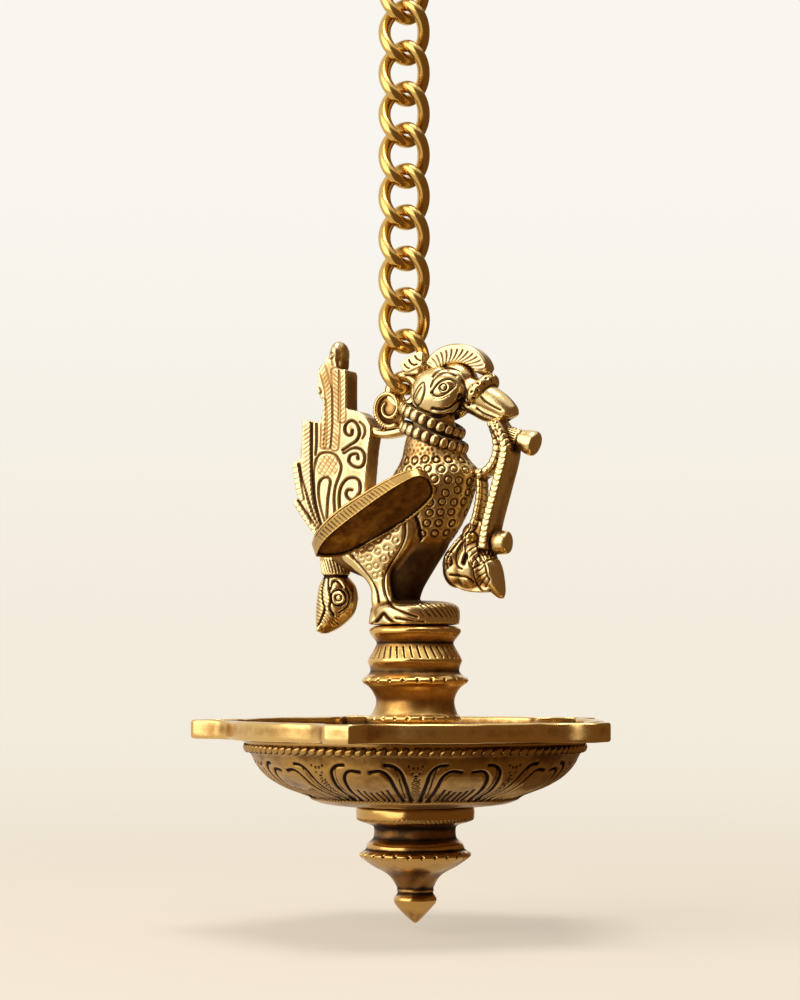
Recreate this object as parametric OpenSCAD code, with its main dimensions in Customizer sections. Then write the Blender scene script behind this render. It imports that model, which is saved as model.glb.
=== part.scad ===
// Hanging oil lamp: a cast bird on a turned stem over a lobed oil dish, hung from a hook by a curb chain.
// The origin is the centre of the hook's seat. Z points up, and the bird looks along X.

/* [Chain] */
// Thickness of the wire that a link is made of
wire_d = 4.2; // [3.6:0.1:4.6]
// Distance from one link to the next
link_pitch = 14; // [13.4:0.1:16]
// Width of a link, outside to outside
link_w = 17.4; // [16.8:0.1:19]
// Turn of each end of a link out of its flat, in degrees
link_twist = 50; // [46:1:54]
// Turn of the whole chain about its own line, in degrees
chain_turn = 25; // [15:1:35]
// Play between two links, and between a link and an eye
link_play = 0.3; // [0.3:0.05:0.6]

/* [Hook] */
// Diameter of the rod or ceiling ring that the hook's seat takes
seat_d = 18; // [14:0.5:24]
// Thickness of the hook's bar
hook_bar = 5; // [4:0.25:7]
// Width of the hook's bar
hook_w = 6; // [5:0.25:8]
// Mouth that the hook is hung through, in degrees of its ring
hook_mouth = 84; // [70:1:88]
// Inner diameter of the eye under the hook
hook_eye_bore = 8; // [7.5:0.1:10]
// Thickness of that eye's bar
hook_eye_bar = 5; // [4:0.25:6]

/* [Dish] */
// Diameter of the dish between its lobes
dish_d = 125; // [116:1:140]
// Reach of a wick lobe from the middle of the dish
lobe_reach = 74; // [70:0.5:84]
// Width of a lobe's blunt tip
lobe_tip_w = 12; // [9:0.5:15]
// Radius of the hollow flank of a lobe
lobe_flank_r = 14; // [12:0.5:18]
// Height of the rim's edge
rim_h = 6.2; // [5:0.1:8]
// Depth of the wick channels below the rim
channel_h = 3; // [2:0.1:4]
// Thickness of the rim's wall around the channels
rim_wall = 3.2; // [2.5:0.1:5]
// Largest radius of the bowl, just under the rim
bowl_r = 54.6; // [50:0.2:57]
// Depth of the bowl below the rim plane
bowl_h = 28.4; // [25:0.2:34]
// Radius of the bowl's flat foot
bowl_foot_r = 20.5; // [19.5:0.1:24]
// Thickness of the bowl's wall
bowl_wall = 3; // [2.2:0.1:4]
// Thickness of the roped ring around the bowl
rope_d = 4; // [3:0.1:5]

/* [Stem and finial] */
// Largest radius of the stem's top moulding
stem_r = 15.6; // [14.5:0.1:18]
// Height of the stem above the rim plane
stem_h = 31.2; // [28:0.2:38]
// Radius of the post that stands in the dish under the stem
post_r = 13; // [11:0.1:14.5]
// Thickness of the sealing washer on the post
washer_t = 1; // [0.6:0.1:2]
// Radius of the finial's collar
finial_r = 19.6; // [17:0.1:20.4]
// Height of the finial from collar to tip
finial_h = 38.4; // [34:0.2:46]
// Diameter of the tie stud
stud_d = 8; // [6:0.5:9]
// Depth of the stud's hole in the bird's footplate
stud_hole_h = 5; // [4:0.25:5.5]
// Play around the stud, and of each cast piece in its seat
fit = 0.1; // [0.05:0.05:0.2]

/* [Bird] */
// Diameter of the footplate
footplate_d = 30; // [27:0.5:34]
// Thickness of the footplate
footplate_h = 6.8; // [6:0.1:9]
// Width of the breast
breast_w = 26; // [23:0.5:30]
// Width of the neck
neck_w = 17; // [15:0.5:19]
// Width of the bands around the neck
band_w = 4; // [3:0.2:5]
// Length of the head
head_l = 20; // [18:0.2:22]
// Width of the head
head_w = 18.8; // [17:0.2:21]
// Height of the head
head_h = 17.8; // [16:0.2:20]
// Diameter of the collar of the beak
collar_d = 14; // [12:0.2:15]
// Distance between the two legs, middle to middle
leg_spread = 14; // [12:0.5:16]
// Length of the crest
crest_l = 23.2; // [21:0.2:26]
// Rise of the crest
crest_h = 10.8; // [9.6:0.2:12.6]
// Width of the crest's band
crest_w = 6.2; // [5:0.1:7]
// Thickness of the crest
crest_t = 6.4; // [5:0.2:8]
// Thickness of the tail fan
tail_t = 9; // [7:0.5:11]
// Largest width of the bud under the tail
bud_w = 14; // [12:0.2:16]
// Length of a wing
wing_l = 46; // [42:1:50]
// Width of a wing
wing_w = 17; // [14:0.5:19]
// Thickness of a wing
wing_t = 5; // [4:0.2:6]
// Rise of a wing's outer edge, in degrees
wing_rise = 38; // [30:1:44]
// Width of the garland, across the bird
garland_t = 12; // [10:0.5:14]
// Diameter of the garland's buds
garland_bud_d = 9.6; // [8:0.2:11]
// Thickness of the scroll at the nape
scroll_t = 6; // [5:0.25:7]
// Radius of that scroll
scroll_r = 6.5; // [6:0.1:7]
// Inner diameter of the eye that the lamp hangs by
lamp_eye_bore = 6; // [5.8:0.1:7]
// Thickness of that eye's bar
lamp_eye_bar = 4; // [3.6:0.1:4.4]

/* [Hidden] */
$fn = 64;
brass = "#b58a2e";
old_brass = "#8a6420";
link_count = 10;

// Chain and hook heights, from the seat down
wire_r = wire_d / 2;
link_half_w = link_w / 2 - wire_r;
link_half_l = (link_pitch + wire_d + link_play) / 2;
link_corner = 0.8;
hook_eye_r = (hook_eye_bore + hook_eye_bar) / 2;
hook_neck_h = 3;
hook_mouth_at = 190;
hook_eye_z = -(seat_d / 2 + hook_bar + hook_neck_h + hook_eye_r + hook_eye_bar / 2);
top_wire_z = hook_eye_z - hook_eye_r + hook_eye_bar / 2 + wire_r + link_play;
function link_z(n) = top_wire_z - link_half_l - link_pitch * (link_count - n);
lamp_eye_r = (lamp_eye_bore + lamp_eye_bar) / 2;
lamp_eye_z = link_z(1) - link_half_l + wire_r + link_play + lamp_eye_bar / 2 - lamp_eye_r;

// Places on the bird: X forward from the lamp's axis, Z up, with the top of the footplate at foot_z
foot_z = 38;
eye_at = [-4, 109.6];
bird_lift = stem_h + footplate_h - foot_z;
lamp_at = [-eye_at[0], 0, lamp_eye_z - eye_at[1] - bird_lift];
head_at = [10.4, 109.1];
crest_at = [15.9, 113.4];
collar_at = [23.4, 107.6];
beak_tip = [35.4, 100];
scroll_at = [-8.8, 104];
wing_tip = [-25.8, -24.6, 56];

// Points of a smooth curve through a list of points, with steps points to each span
function blend(a, b, c, d, t) =
    b + t * ((c - a) / 2 + t * ((a - 2.5 * b + 2 * c - d / 2) + t * (1.5 * b - 1.5 * c + (d - a) / 2)));
function curve(p, steps) = let (last = len(p) - 1) [
    for (i = [0:last - 1]) for (k = [0:steps - 1])
        blend(p[max(i - 1, 0)], p[i], p[i + 1], p[min(i + 2, last)], k / steps),
    p[last]
];

// Outline of a strip of the given width along a flat path
function side_step(p, i) = let (d = p[min(i + 1, len(p) - 1)] - p[max(i - 1, 0)]) [-d[1], d[0]] / norm(d);
function strip(p, w0, w1) = let (n = len(p) - 1) [
    for (i = [0:n]) p[i] + side_step(p, i) * (w0 + (w1 - w0) * i / n) / 2,
    for (i = [n:-1:0]) p[i] - side_step(p, i) * (w0 + (w1 - w0) * i / n) / 2
];
function spiral(c, r0, r1, a0, turns, n) = [
    for (i = [0:n]) let (a = a0 + 360 * turns * i / n, r = r0 + (r1 - r0) * i / n) c + r * [cos(a), sin(a)]
];

// Solid skin over a list of rings that have the same number of points
module skin(rings, closed = false) {
    n = len(rings);
    m = len(rings[0]);
    sides = [
        for (i = [0:(closed ? n - 1 : n - 2)]) for (j = [0:m - 1])
            let (a = i * m, b = ((i + 1) % n) * m, k = (j + 1) % m)
                each [[a + j, b + j, b + k], [a + j, b + k, a + k]]
    ];
    ends = closed ? [] : [[for (j = [0:m - 1]) j], [for (j = [m - 1:-1:0]) (n - 1) * m + j]];
    polyhedron([for (r = rings) each r], concat(sides, ends));
}

// Form through flat sections, each given as height, middle, half length along X and half width along Y
module loft(sections, steps, m, y = 0, gap = 0) {
    skin([
        for (s = curve(sections, steps)) [
            for (j = [0:m - 1])
                [s[1] + (s[2] + gap) * cos(360 * j / m), y + (s[3] + gap) * sin(360 * j / m), s[0]]
        ]
    ]);
}

// Flat form in the bird's middle plane, drawn in X and Z
module upright(t) {
    rotate([90, 0, 0])
        linear_extrude(t, center = true)
            children();
}

// Flat form grown by a gap, for the seat that takes it
module grown(gap) {
    if (gap > 0)
        offset(delta = gap)
            children();
    else
        children();
}

// The lamp's own frame, from the middle of the dish's rim plane, and the bird's frame on top of the stem
module in_lamp() {
    translate(lamp_at)
        children();
}
module in_bird() {
    translate(lamp_at + [0, 0, bird_lift])
        children();
}

// One skin over several cast forms that run into each other
module one_skin() {
    resize([0, 0, 0])
        children();
}

// A place in the bird's middle plane, given in X and Z
module at(p) {
    translate([p[0], 0, p[1]])
        children();
}

// Ring of round bar, standing upright with its hole along Y
module ring(r, bar) {
    rotate([90, 0, 0])
        rotate_extrude()
            translate([r, 0])
                circle(d = bar);
}

// Hook: a cast ring open at one side, with a turned eye for the chain
module ceiling_hook() {
    color(old_brass) {
        rotate([90, 0, 0])
            rotate([0, 0, hook_mouth_at + hook_mouth / 2])
                rotate_extrude(angle = 360 - hook_mouth)
                    translate([seat_d / 2, -hook_w / 2])
                        square([hook_bar, hook_w]);
        translate([0, 0, hook_eye_z + hook_eye_r])
            cylinder(h = -hook_eye_z - hook_eye_r - seat_d / 2 - hook_bar / 2, d = hook_w);
        translate([0, 0, hook_eye_z])
            rotate([0, 0, 90 + chain_turn - link_twist])
                ring(hook_eye_r, hook_eye_bar);
    }
}

// One curb link: a rounded loop of wire, twisted so that each end lies across its neighbour
function bulge(x) = sign(x) * pow(abs(x), link_corner);
function link_point(t) =
    let (x = link_half_w * bulge(cos(t)), z = link_half_l * bulge(sin(t)), a = -link_twist * z / link_half_l)
        [x * cos(a), x * sin(a), z];
module chain_link(n) {
    rings = 36;
    m = 8;
    color(brass)
        translate([0, 0, link_z(n)])
            rotate([0, 0, chain_turn])
                skin([
                    for (i = [0:rings - 1])
                        let (
                            t = 360 * (i + 0.5) / rings,
                            p = link_point(t),
                            d = link_point(t + 2) - link_point(t - 2),
                            along = d / norm(d),
                            out = p - along * (p * along),
                            u = out / norm(out),
                            v = cross(along, u)
                        )
                            [for (j = [0:m - 1]) p + wire_r * (u * cos(360 * j / m) - v * sin(360 * j / m))]
                ], closed = true);
}

// Eye at the nape, with the engraved stub in front of the lowest link
stub = [7, 4.2, 4.6];
stub_start = 0.7;
stub_back = 0.7;
module eye_form(gap, sides = 64) {
    at(eye_at) {
        ring(lamp_eye_r, lamp_eye_bar + 2 * gap, $fn = sides);
        translate([stub_start - gap, -stub_back - stub[1] - gap, lamp_eye_r - gap])
            cube(stub + 2 * gap * [1, 1, 1]);
    }
}
module hanging_eye() {
    color(brass)
        in_bird()
            eye_form(0);
}

// Bird: body, neck, head, beak, legs and footplate in one casting, with seats for the pieces set into it
body_sections = [
    [46.5, -10, 6, 5],
    [51, -12, 15, 8.6],
    [56, -11.4, 21, 10.6],
    [62, -7.2, 22.2, breast_w * 0.46],
    [70, 0.4, 18.8, breast_w / 2],
    [78, 6.3, 15.5, breast_w * 0.46],
    [82, 8, 14.8, breast_w * 0.43],
    [86.4, 7.4, 11.6, breast_w * 0.38],
    [91, 6.7, 9.8, neck_w * 0.53],
    [97, 6.6, 9.4, neck_w / 2],
    [104, 8, 8.6, neck_w * 0.48]
];
leg_sections = [
    [foot_z - footplate_h + 1, -2.6, 9, 5.4],
    [foot_z - 1, -3.6, 7, 4.9],
    [foot_z + 2, -5.8, 4.4, 3.9],
    [43, -7, 3.7, 3.6],
    [46.5, -8.4, 4.1, 3.8],
    [49.5, -9.6, 5.6, 4.5],
    [54, -10.4, 9.4, 5.2],
    [60, -9.5, 11.4, 5]
];
neck_bands = [[6.4, 99.2, 10.6, 26], [6.8, 93.7, 11, 22]];
band_oval = 0.86;
collar_bar = 3.6;
collar_lean = atan2(collar_at[1] - beak_tip[1], beak_tip[0] - collar_at[0]);
cheek_d = head_w * 0.84;
beak_root_d = collar_d - collar_bar;
beak_tip_d = 5;
beak_chin = [-6, -0.6];
stand_off = 20;
module footplate() {
    translate([0, 0, foot_z - footplate_h])
        cylinder(h = footplate_h, d = footplate_d);
}
module head_form(gap) {
    at(head_at)
        scale([head_l / 2 + gap, head_w / 2 + gap, head_h / 2 + gap])
            sphere(r = 1, $fn = 30);
}
module beak(gap) {
    hull() {
        translate([head_at[0] + head_l / 4, 0, head_at[1]])
            sphere(d = cheek_d, $fn = 24);
        at(collar_at)
            rotate([0, 90 + collar_lean, 0])
                cylinder(h = 1, d = beak_root_d + 2 * gap, $fn = 28);
    }
    hull() {
        at(collar_at)
            rotate([0, 90 + collar_lean, 0])
                cylinder(h = 1, d = beak_root_d + 2 * gap, $fn = 28);
        at(beak_tip - [beak_tip_d / 2, 0])
            sphere(d = beak_tip_d + 2 * gap, $fn = 24);
        at(beak_tip + beak_chin)
            sphere(d = beak_tip_d + 2 * gap, $fn = 24);
    }
    at(collar_at)
        rotate([0, 90 + collar_lean, 0])
            rotate_extrude($fn = 32)
                translate([beak_root_d / 2, 0])
                    circle(d = collar_bar + 2 * gap, $fn = 12);
}
module neck_band(band) {
    at(band)
        rotate([0, band[3], 0])
            scale([1, band_oval, 1])
                rotate_extrude($fn = 36)
                    translate([band[2], 0])
                        scale([0.6, 1])
                            circle(d = band_w, $fn = 10);
}
module bird_forms() {
    loft(body_sections, 3, 26);
    for (side = [-1, 1])
        loft(leg_sections, 2, 16, side * leg_spread / 2);
    footplate();
    head_form(0);
    beak(0);
    for (band = neck_bands)
        neck_band(band);
}
module bird_seats() {
    eye_form(fit, 28);
    crest_form(fit);
    tail_plate(fit);
    bud_form(fit);
    scroll_form(fit);
    wing_form(fit);
    mirror([0, 1, 0])
        wing_form(fit);
    translate([0, 0, foot_z - footplate_h - stand_off])
        cylinder(h = stand_off, d = 2 * footplate_d);
}
module bird_body() {
    color(brass)
        in_bird()
            difference() {
                one_skin()
                    difference() {
                        bird_forms();
                        bird_seats();
                    }
                translate([0, 0, foot_z - footplate_h])
                    cylinder(h = 2 * stud_hole_h, d = stud_d + 2 * fit, center = true);
            }
}

// Crest: an arched band over the head, on a thinner web that is let into the head
crest_from = 0;
crest_to = 150;
crest_end_w = 3.8;
crest_web_t = crest_t * 0.66;
crest_web_drop = 6;
crest_web_from = 20;
crest_web_lap = 1;
function crest_arc(l, h, from, to) = [
    for (i = [0:20]) let (a = from + (to - from) * i / 20) crest_at + [l * cos(a), h * sin(a)]
];
module crest_form(gap) {
    inner_l = crest_l / 2 - crest_end_w;
    inner_h = crest_h - crest_w;
    upright(crest_t + 2 * gap)
        grown(gap)
            polygon(concat(
                crest_arc(crest_l / 2, crest_h, crest_from, crest_to),
                crest_arc(inner_l, inner_h, crest_to, crest_from)
            ));
    upright(crest_web_t + 2 * gap)
        grown(gap)
            polygon(concat(
                crest_arc(inner_l + crest_web_lap, inner_h + crest_web_lap, crest_web_from, crest_to - 10),
                [for (side = [-1, 1]) crest_at + crest_web_drop * [side, -0.5]]
            ));
}
module crest() {
    color(brass)
        in_bird()
            crest_form(0);
}

// Scroll that joins the nape to the tail
scroll_bar = 2.6;
scroll_heart_bar = 1.6;
scroll_heart_r = 1.8;
scroll_from = -60;
scroll_turns = -1.5;
scroll_lap = 0.4;
scroll_strip = [[-17, 97], [-11, 95.4], [-5, 96], [-1, 97]];
scroll_strip_w = 3.4;
module scroll_form(gap) {
    difference() {
        union() {
            upright(scroll_t * 0.7 + 2 * gap)
                translate(scroll_at)
                    circle(r = scroll_r + gap);
            upright(scroll_t + 2 * gap)
                polygon(strip(
                    spiral(scroll_at, scroll_r - scroll_lap, scroll_heart_r, scroll_from, scroll_turns, 30),
                    scroll_bar + gap, scroll_heart_bar + gap
                ));
            upright(scroll_t + 2 * gap)
                polygon(strip(curve(scroll_strip, 4), scroll_strip_w + gap, scroll_strip_w + gap));
        }
        at(eye_at)
            rotate([90, 0, 0])
                cylinder(h = 4 * scroll_t, r = lamp_eye_r + lamp_eye_bar / 2 + fit - gap, center = true);
    }
}
module nape_scroll() {
    color(brass)
        in_bird()
            difference() {
                scroll_form(0);
                tail_plate(fit);
            }
}

// Wing: a leaf-shaped plate let into the side of the body, drawn from its tip in shares of length and width
wing_edge = [
    [0, 0.05], [0.08, -0.15], [0.21, -0.3], [0.5, -0.45], [0.78, -0.53], [0.94, -0.48], [1, -0.24],
    [0.95, 0.2], [0.74, 0.42], [0.5, 0.47], [0.22, 0.45], [0.08, 0.28], [0, 0.05]
];
wing_yaw = 14;
wing_pitch = 28.5;
module wing_form(gap) {
    translate(wing_tip)
        rotate([0, 0, wing_yaw])
            rotate([0, -wing_pitch, 0])
                rotate([-wing_rise, 0, 0])
                    linear_extrude(wing_t + 2 * gap, center = true)
                        grown(gap)
                            polygon([for (p = curve(wing_edge, 3)) [p[0] * wing_l, p[1] * wing_w]]);
}
module wing_right() {
    color(brass)
        in_bird()
            wing_form(0);
}
module wing_left() {
    color(brass)
        in_bird()
            mirror([0, 1, 0])
                wing_form(0);
}

// Tail fan: stepped feathers that rise from the rump, with roped stems, three curls and a bud at the top
tail_edge = [
    [-20, 58], [-31, 59.5], [-37, 63], [-43.4, 72], [-42.6, 74.5], [-43.7, 86], [-41, 87.3], [-40.3, 100.2],
    [-34, 100.6], [-32.8, 108], [-34.7, 111.6], [-34.4, 117.2], [-31.6, 122.6], [-27, 122], [-27, 118.2],
    [-24.6, 117.8], [-23.4, 116], [-23.4, 104.2], [-18.8, 102.8], [-15.4, 98.6], [-15.4, 92], [-16.4, 78],
    [-14, 68]
];
tail_ropes = [
    [[-33, 119], [-30.9, 113.9], [-29.9, 108.8], [-29.9, 101], [-30.9, 91]],
    [[-27.8, 116.6], [-27.1, 108.8], [-27.2, 101], [-28.2, 91.4]]
];
tail_feathers = [
    [[-38.6, 100], [-38.6, 89.6], [-37.8, 80], [-35.2, 69]],
    [[-42, 85.6], [-40.7, 79.8], [-38.4, 72.6]],
    [[-41.8, 72.2], [-38.6, 67.6], [-36.2, 64.6]]
];
tail_drop = [[-30.9, 68], [-31.2, 76], [-30.8, 82], [-30.6, 88]];
tail_curls = [[-22.4, 97, 3], [-20.6, 87.4, 2.8], [-21.8, 77.6, 3]];
tail_knob = [-27.8, 123.8];
tail_knob_r = 3.7;
drop_w = 4;
drop_top_w = 8;
curl_from = -100;
curl_turns = 0.9;
curl_heart_r = 0.9;
curl_w = 1.4;
curl_heart_w = 1.2;
rope_w = 2.4;
feather_w = 3.4;
relief_t = tail_t * 0.9;
module tail_line(path, w0, w1) {
    upright(tail_t)
        polygon(strip(curve(path, 4), w0, w1));
}
module tail_plate(gap) {
    upright(relief_t + 2 * gap)
        grown(gap)
            polygon(tail_edge);
}
module tail_relief() {
    for (path = tail_ropes)
        tail_line(path, rope_w, rope_w);
    for (path = tail_feathers)
        tail_line(path, feather_w, feather_w * 0.7);
    tail_line(tail_drop, drop_w, drop_top_w);
    for (c = tail_curls)
        upright(tail_t)
            polygon(strip(
                spiral([c[0], c[1]], c[2], curl_heart_r, curl_from, curl_turns, 14), curl_w, curl_heart_w
            ));
    at(tail_knob)
        sphere(r = tail_knob_r, $fn = 24);
}
module tail_fan() {
    color(brass)
        in_bird() {
            tail_plate(0);
            tail_relief();
        }
}

// Bud that hangs from the rump under the tail, bent back at its tip
bud_sections = [
    [28.6, -34.8, 0.8, 0.8],
    [31, -33.6, 3, 2.8],
    [35, -31, bud_w * 0.41, bud_w * 0.38],
    [40, -29.2, bud_w / 2, bud_w * 0.46],
    [44.5, -28.8, bud_w * 0.46, bud_w * 0.43],
    [47.6, -29.3, 4.6, 4.4],
    [49, -29.4, 4.9, 4.7],
    [54, -29.7, 5.2, 5],
    [58, -29.9, 5, 5]
];
module bud_form(gap) {
    loft(bud_sections, 2, 20, 0, gap);
}
module tail_bud() {
    color(brass)
        in_bird()
            bud_form(0);
}

// Garland from the beak: a hatched strut with buds, an inner vine along the breast and a leaf curl at its foot
strut_path = [[30.4, 97.4], [33.4, 92], [34.2, 87], [31.2, 76], [27.8, 64], [26.6, 56]];
strut_w = 4.4;
vine_path = [[29, 97.4], [31, 92.4], [30.8, 87.2], [28.2, 82.4], [22.6, 79.6]];
breast_vine_path = [[23.6, 82], [24, 77], [23.6, 71], [22, 65], [18.8, 59.4], [15.4, 54.6]];
vine_w = 3.2;
leaf_at = [17.8, 48.4];
leaf_r = 7;
leaf_heart_r = 1.4;
leaf_from = 60;
leaf_turns = 1.4;
leaf_bar = 2.6;
leaf_heart_bar = 1.8;
pointed_bud = [[0.8, 0], [1, 0.25], [0.92, 0.5], [0.35, 0.92], [0, 1]];
blunt_bud = [[0.7, 0], [0.95, 0.25], [1, 0.55], [0.8, 0.85], [0.3, 1], [0, 1]];
garland_buds = [
    [[32.6, 94], 110, 12, blunt_bud],
    [[25.4, 58.2], 92, 8.6, blunt_bud],
    [[23.8, 54.6], 152, 17, pointed_bud]
];
module garland_bud(bud) {
    at(bud[0])
        rotate([0, bud[1], 0])
            rotate_extrude($fn = 32)
                polygon([[0, 0], for (p = bud[3]) [p[0] * garland_bud_d / 2, p[1] * bud[2]]]);
}
module beak_garland() {
    color(brass)
        in_bird()
            difference() {
                union() {
                    upright(garland_t)
                        polygon(strip(curve(strut_path, 4), strut_w, strut_w));
                    upright(garland_t * 0.66)
                        polygon(strip(curve(vine_path, 4), vine_w, vine_w));
                    upright(garland_t * 0.6)
                        polygon(strip(curve(breast_vine_path, 4), vine_w, vine_w));
                    for (bud = garland_buds)
                        garland_bud(bud);
                    upright(garland_t * 0.8)
                        polygon(strip(
                            spiral(leaf_at, leaf_r, leaf_heart_r, leaf_from, leaf_turns, 26),
                            leaf_bar, leaf_heart_bar
                        ));
                    upright(garland_t * 0.62)
                        translate(leaf_at)
                            circle(r = leaf_r, $fn = 40);
                }
                loft(body_sections, 3, 26, 0, fit);
                beak(fit);
            }
}

// Turned stem between the bird and the dish, drawn as steps from its radius at shares of its height
stem_profile = [
    [-0.4, 0.03], [-1.4, 0.06], [-2.9, 0.18], [-2.4, 0.26], [-0.6, 0.35], [1.6, 0.39], [2, 0.42], [1.6, 0.45],
    [-0.6, 0.49], [-0.8, 0.54], [0, 0.62], [-0.4, 0.65], [-3, 0.79], [-3, 0.83], [-1.2, 0.89], [-0.4, 0.93],
    [-0.4, 0.97], [-2.4, 1]
];
module stem() {
    r = stem_r;
    h = stem_h;
    bore = stud_d / 2 + fit;
    foot = -channel_h + washer_t;
    color(brass)
        in_lamp()
            rotate_extrude()
                polygon([
                    [bore, foot], [post_r, foot], [post_r, -0.6], [r - 0.6, -0.4],
                    for (p = stem_profile) [r + p[0], h * p[1]],
                    [bore, h]
                ]);
}

// Washer that keeps the oil out of the stud's hole
module seal_washer() {
    color("#6b4a2a")
        in_lamp()
            translate([0, 0, -channel_h])
                difference() {
                    cylinder(h = washer_t, r = post_r - 1);
                    translate([0, 0, -washer_t])
                        cylinder(h = 3 * washer_t, r = stud_d / 2 + fit);
                }
}

// Oil dish: lobed rim with wick channels, lotus bowl, roped ring and the post under the stem
flank_bite = 0.2;
flank_at = dish_d / 2 + lobe_flank_r - flank_bite;
tip_angle = atan2(lobe_tip_w / 2, lobe_reach);
tip_r = norm([lobe_reach, lobe_tip_w / 2]);
flank_angle = tip_angle
    + acos((pow(flank_at, 2) + pow(tip_r, 2) - pow(lobe_flank_r, 2)) / (2 * flank_at * tip_r));
lobe_angles = [for (i = [0:4]) 204 + 72 * i];
module lobed_plate(h, inset) {
    reach = lobe_reach - inset;
    half = reach * tan(flank_angle);
    linear_extrude(h)
        difference() {
            union() {
                circle(r = dish_d / 2 - inset, $fn = 160);
                for (a = lobe_angles)
                    rotate(a)
                        polygon([[0, 0], [reach, -half], [reach, half]]);
            }
            for (a = lobe_angles) for (side = [-1, 1])
                rotate(a + side * flank_angle)
                    translate([flank_at, 0])
                        circle(r = lobe_flank_r + inset, $fn = 96);
        }
}
module oil_dish() {
    inner = bowl_r - bowl_wall;
    floor_z = bowl_wall - bowl_h;
    color(brass)
        in_lamp()
            difference() {
                union() {
                    difference() {
                        union() {
                            translate([0, 0, -rim_h])
                                lobed_plate(rim_h, 0);
                            rotate_extrude($fn = 120)
                                polygon([
                                    [0, -bowl_h], [bowl_foot_r, -bowl_h], [bowl_foot_r + 10, -bowl_h + 1],
                                    [bowl_foot_r + 14, -bowl_h + 2.8], [bowl_r * 0.7, -bowl_h + 4.4],
                                    [bowl_r * 0.79, -bowl_h + 6.4], [bowl_r * 0.89, -bowl_h + 9.6],
                                    [bowl_r * 0.955, -bowl_h + 13.2], [bowl_r, -bowl_h + 18],
                                    [bowl_r, -rim_h / 2], [0, -rim_h / 2]
                                ]);
                            translate([0, 0, -rim_h - rope_d * 0.38])
                                rotate_extrude($fn = 120)
                                    translate([bowl_r, 0])
                                        circle(d = rope_d);
                        }
                        translate([0, 0, -channel_h])
                            lobed_plate(2 * channel_h, rim_wall);
                        rotate_extrude($fn = 120)
                            polygon([
                                [0, floor_z], [bowl_foot_r + 8, floor_z], [inner * 0.7, floor_z + 4],
                                [inner * 0.86, floor_z + 9], [inner * 0.95, floor_z + 14],
                                [inner, floor_z + 19], [inner, 1], [0, 1]
                            ]);
                    }
                    translate([0, 0, -bowl_h])
                        cylinder(h = bowl_h - channel_h, r = post_r);
                }
                translate([0, 0, -bowl_h - 1])
                    cylinder(h = bowl_h + 2, r = stud_d / 2 + fit);
            }
}

// Turned finial that draws the stud tight under the bowl, drawn like the stem from its collar down
finial_hole_h = 14;
finial_profile = [
    [0, 0.015], [0, 0.105], [-0.6, 0.125], [-6, 0.165], [-6.2, 0.21], [-5.8, 0.275], [-4, 0.32], [-3.2, 0.365],
    [-1.6, 0.385], [-0.9, 0.415], [-1.6, 0.45], [-5.8, 0.52], [-10.7, 0.58], [-13.2, 0.67], [-13.9, 0.73],
    [-12.8, 0.765], [-12.6, 0.805], [-13.4, 0.855]
];
module finial() {
    r = finial_r;
    color(brass)
        in_lamp()
            translate([0, 0, -bowl_h])
                difference() {
                    rotate_extrude()
                        polygon([
                            [0, 0], [r - 0.3, 0],
                            for (p = finial_profile) [r + p[0], -finial_h * p[1]],
                            [1.2, -finial_h + 0.5], [0, -finial_h]
                        ]);
                    translate([0, 0, -finial_hole_h])
                        cylinder(h = 2 * finial_hole_h, r = stud_d / 2 + fit);
                }
}

// Threaded tie stud that holds bird, stem, dish and finial together
module tie_stud() {
    low = -bowl_h - finial_hole_h + fit;
    color(old_brass)
        in_lamp()
            translate([0, 0, low])
                cylinder(h = stem_h + stud_hole_h - fit - low, d = stud_d);
}

ceiling_hook();
for (n = [1:link_count])
    chain_link(n);
hanging_eye();
bird_body();
crest();
nape_scroll();
wing_right();
wing_left();
tail_fan();
tail_bud();
beak_garland();
stem();
seal_washer();
oil_dish();
finial();
tie_stud();
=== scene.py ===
import math

import bpy
import numpy as np
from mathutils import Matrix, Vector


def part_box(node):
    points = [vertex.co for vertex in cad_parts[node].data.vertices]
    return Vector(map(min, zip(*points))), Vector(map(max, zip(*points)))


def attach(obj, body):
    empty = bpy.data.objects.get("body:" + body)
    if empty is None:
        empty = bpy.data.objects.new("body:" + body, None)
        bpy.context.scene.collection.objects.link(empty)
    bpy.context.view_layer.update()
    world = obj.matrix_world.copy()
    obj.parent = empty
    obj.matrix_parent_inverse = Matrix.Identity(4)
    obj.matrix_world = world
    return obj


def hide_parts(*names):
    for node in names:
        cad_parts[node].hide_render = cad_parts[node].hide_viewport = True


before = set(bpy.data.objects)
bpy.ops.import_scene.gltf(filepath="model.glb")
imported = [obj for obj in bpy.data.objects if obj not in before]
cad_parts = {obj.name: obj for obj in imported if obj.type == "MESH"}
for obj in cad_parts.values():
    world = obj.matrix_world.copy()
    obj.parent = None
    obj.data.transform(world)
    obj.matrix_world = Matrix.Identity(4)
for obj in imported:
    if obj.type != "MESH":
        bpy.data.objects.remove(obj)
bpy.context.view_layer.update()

# ---- Ceiling hook
# The open ring that hangs over a rod or a ceiling eye, with a turned neck and a small eye for the chain.
# It is cast in one piece from plain brass and left a little rough. Forms are drawn here in millimetres.


def joined(forms):
    """Puts closed forms, each a pair of points and faces, into one list of points and faces."""
    points, faces, first = [], [], 0
    for p, f in forms:
        points.append(np.asarray(p, float))
        faces += [[first + i for i in face] for face in f]
        first += len(p)
    return np.vstack(points), faces


def placed(name, data):
    """New object in the scene with this mesh, lamp or camera."""
    item = bpy.data.objects.new(name, data)
    bpy.context.collection.objects.link(item)
    return item


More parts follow.
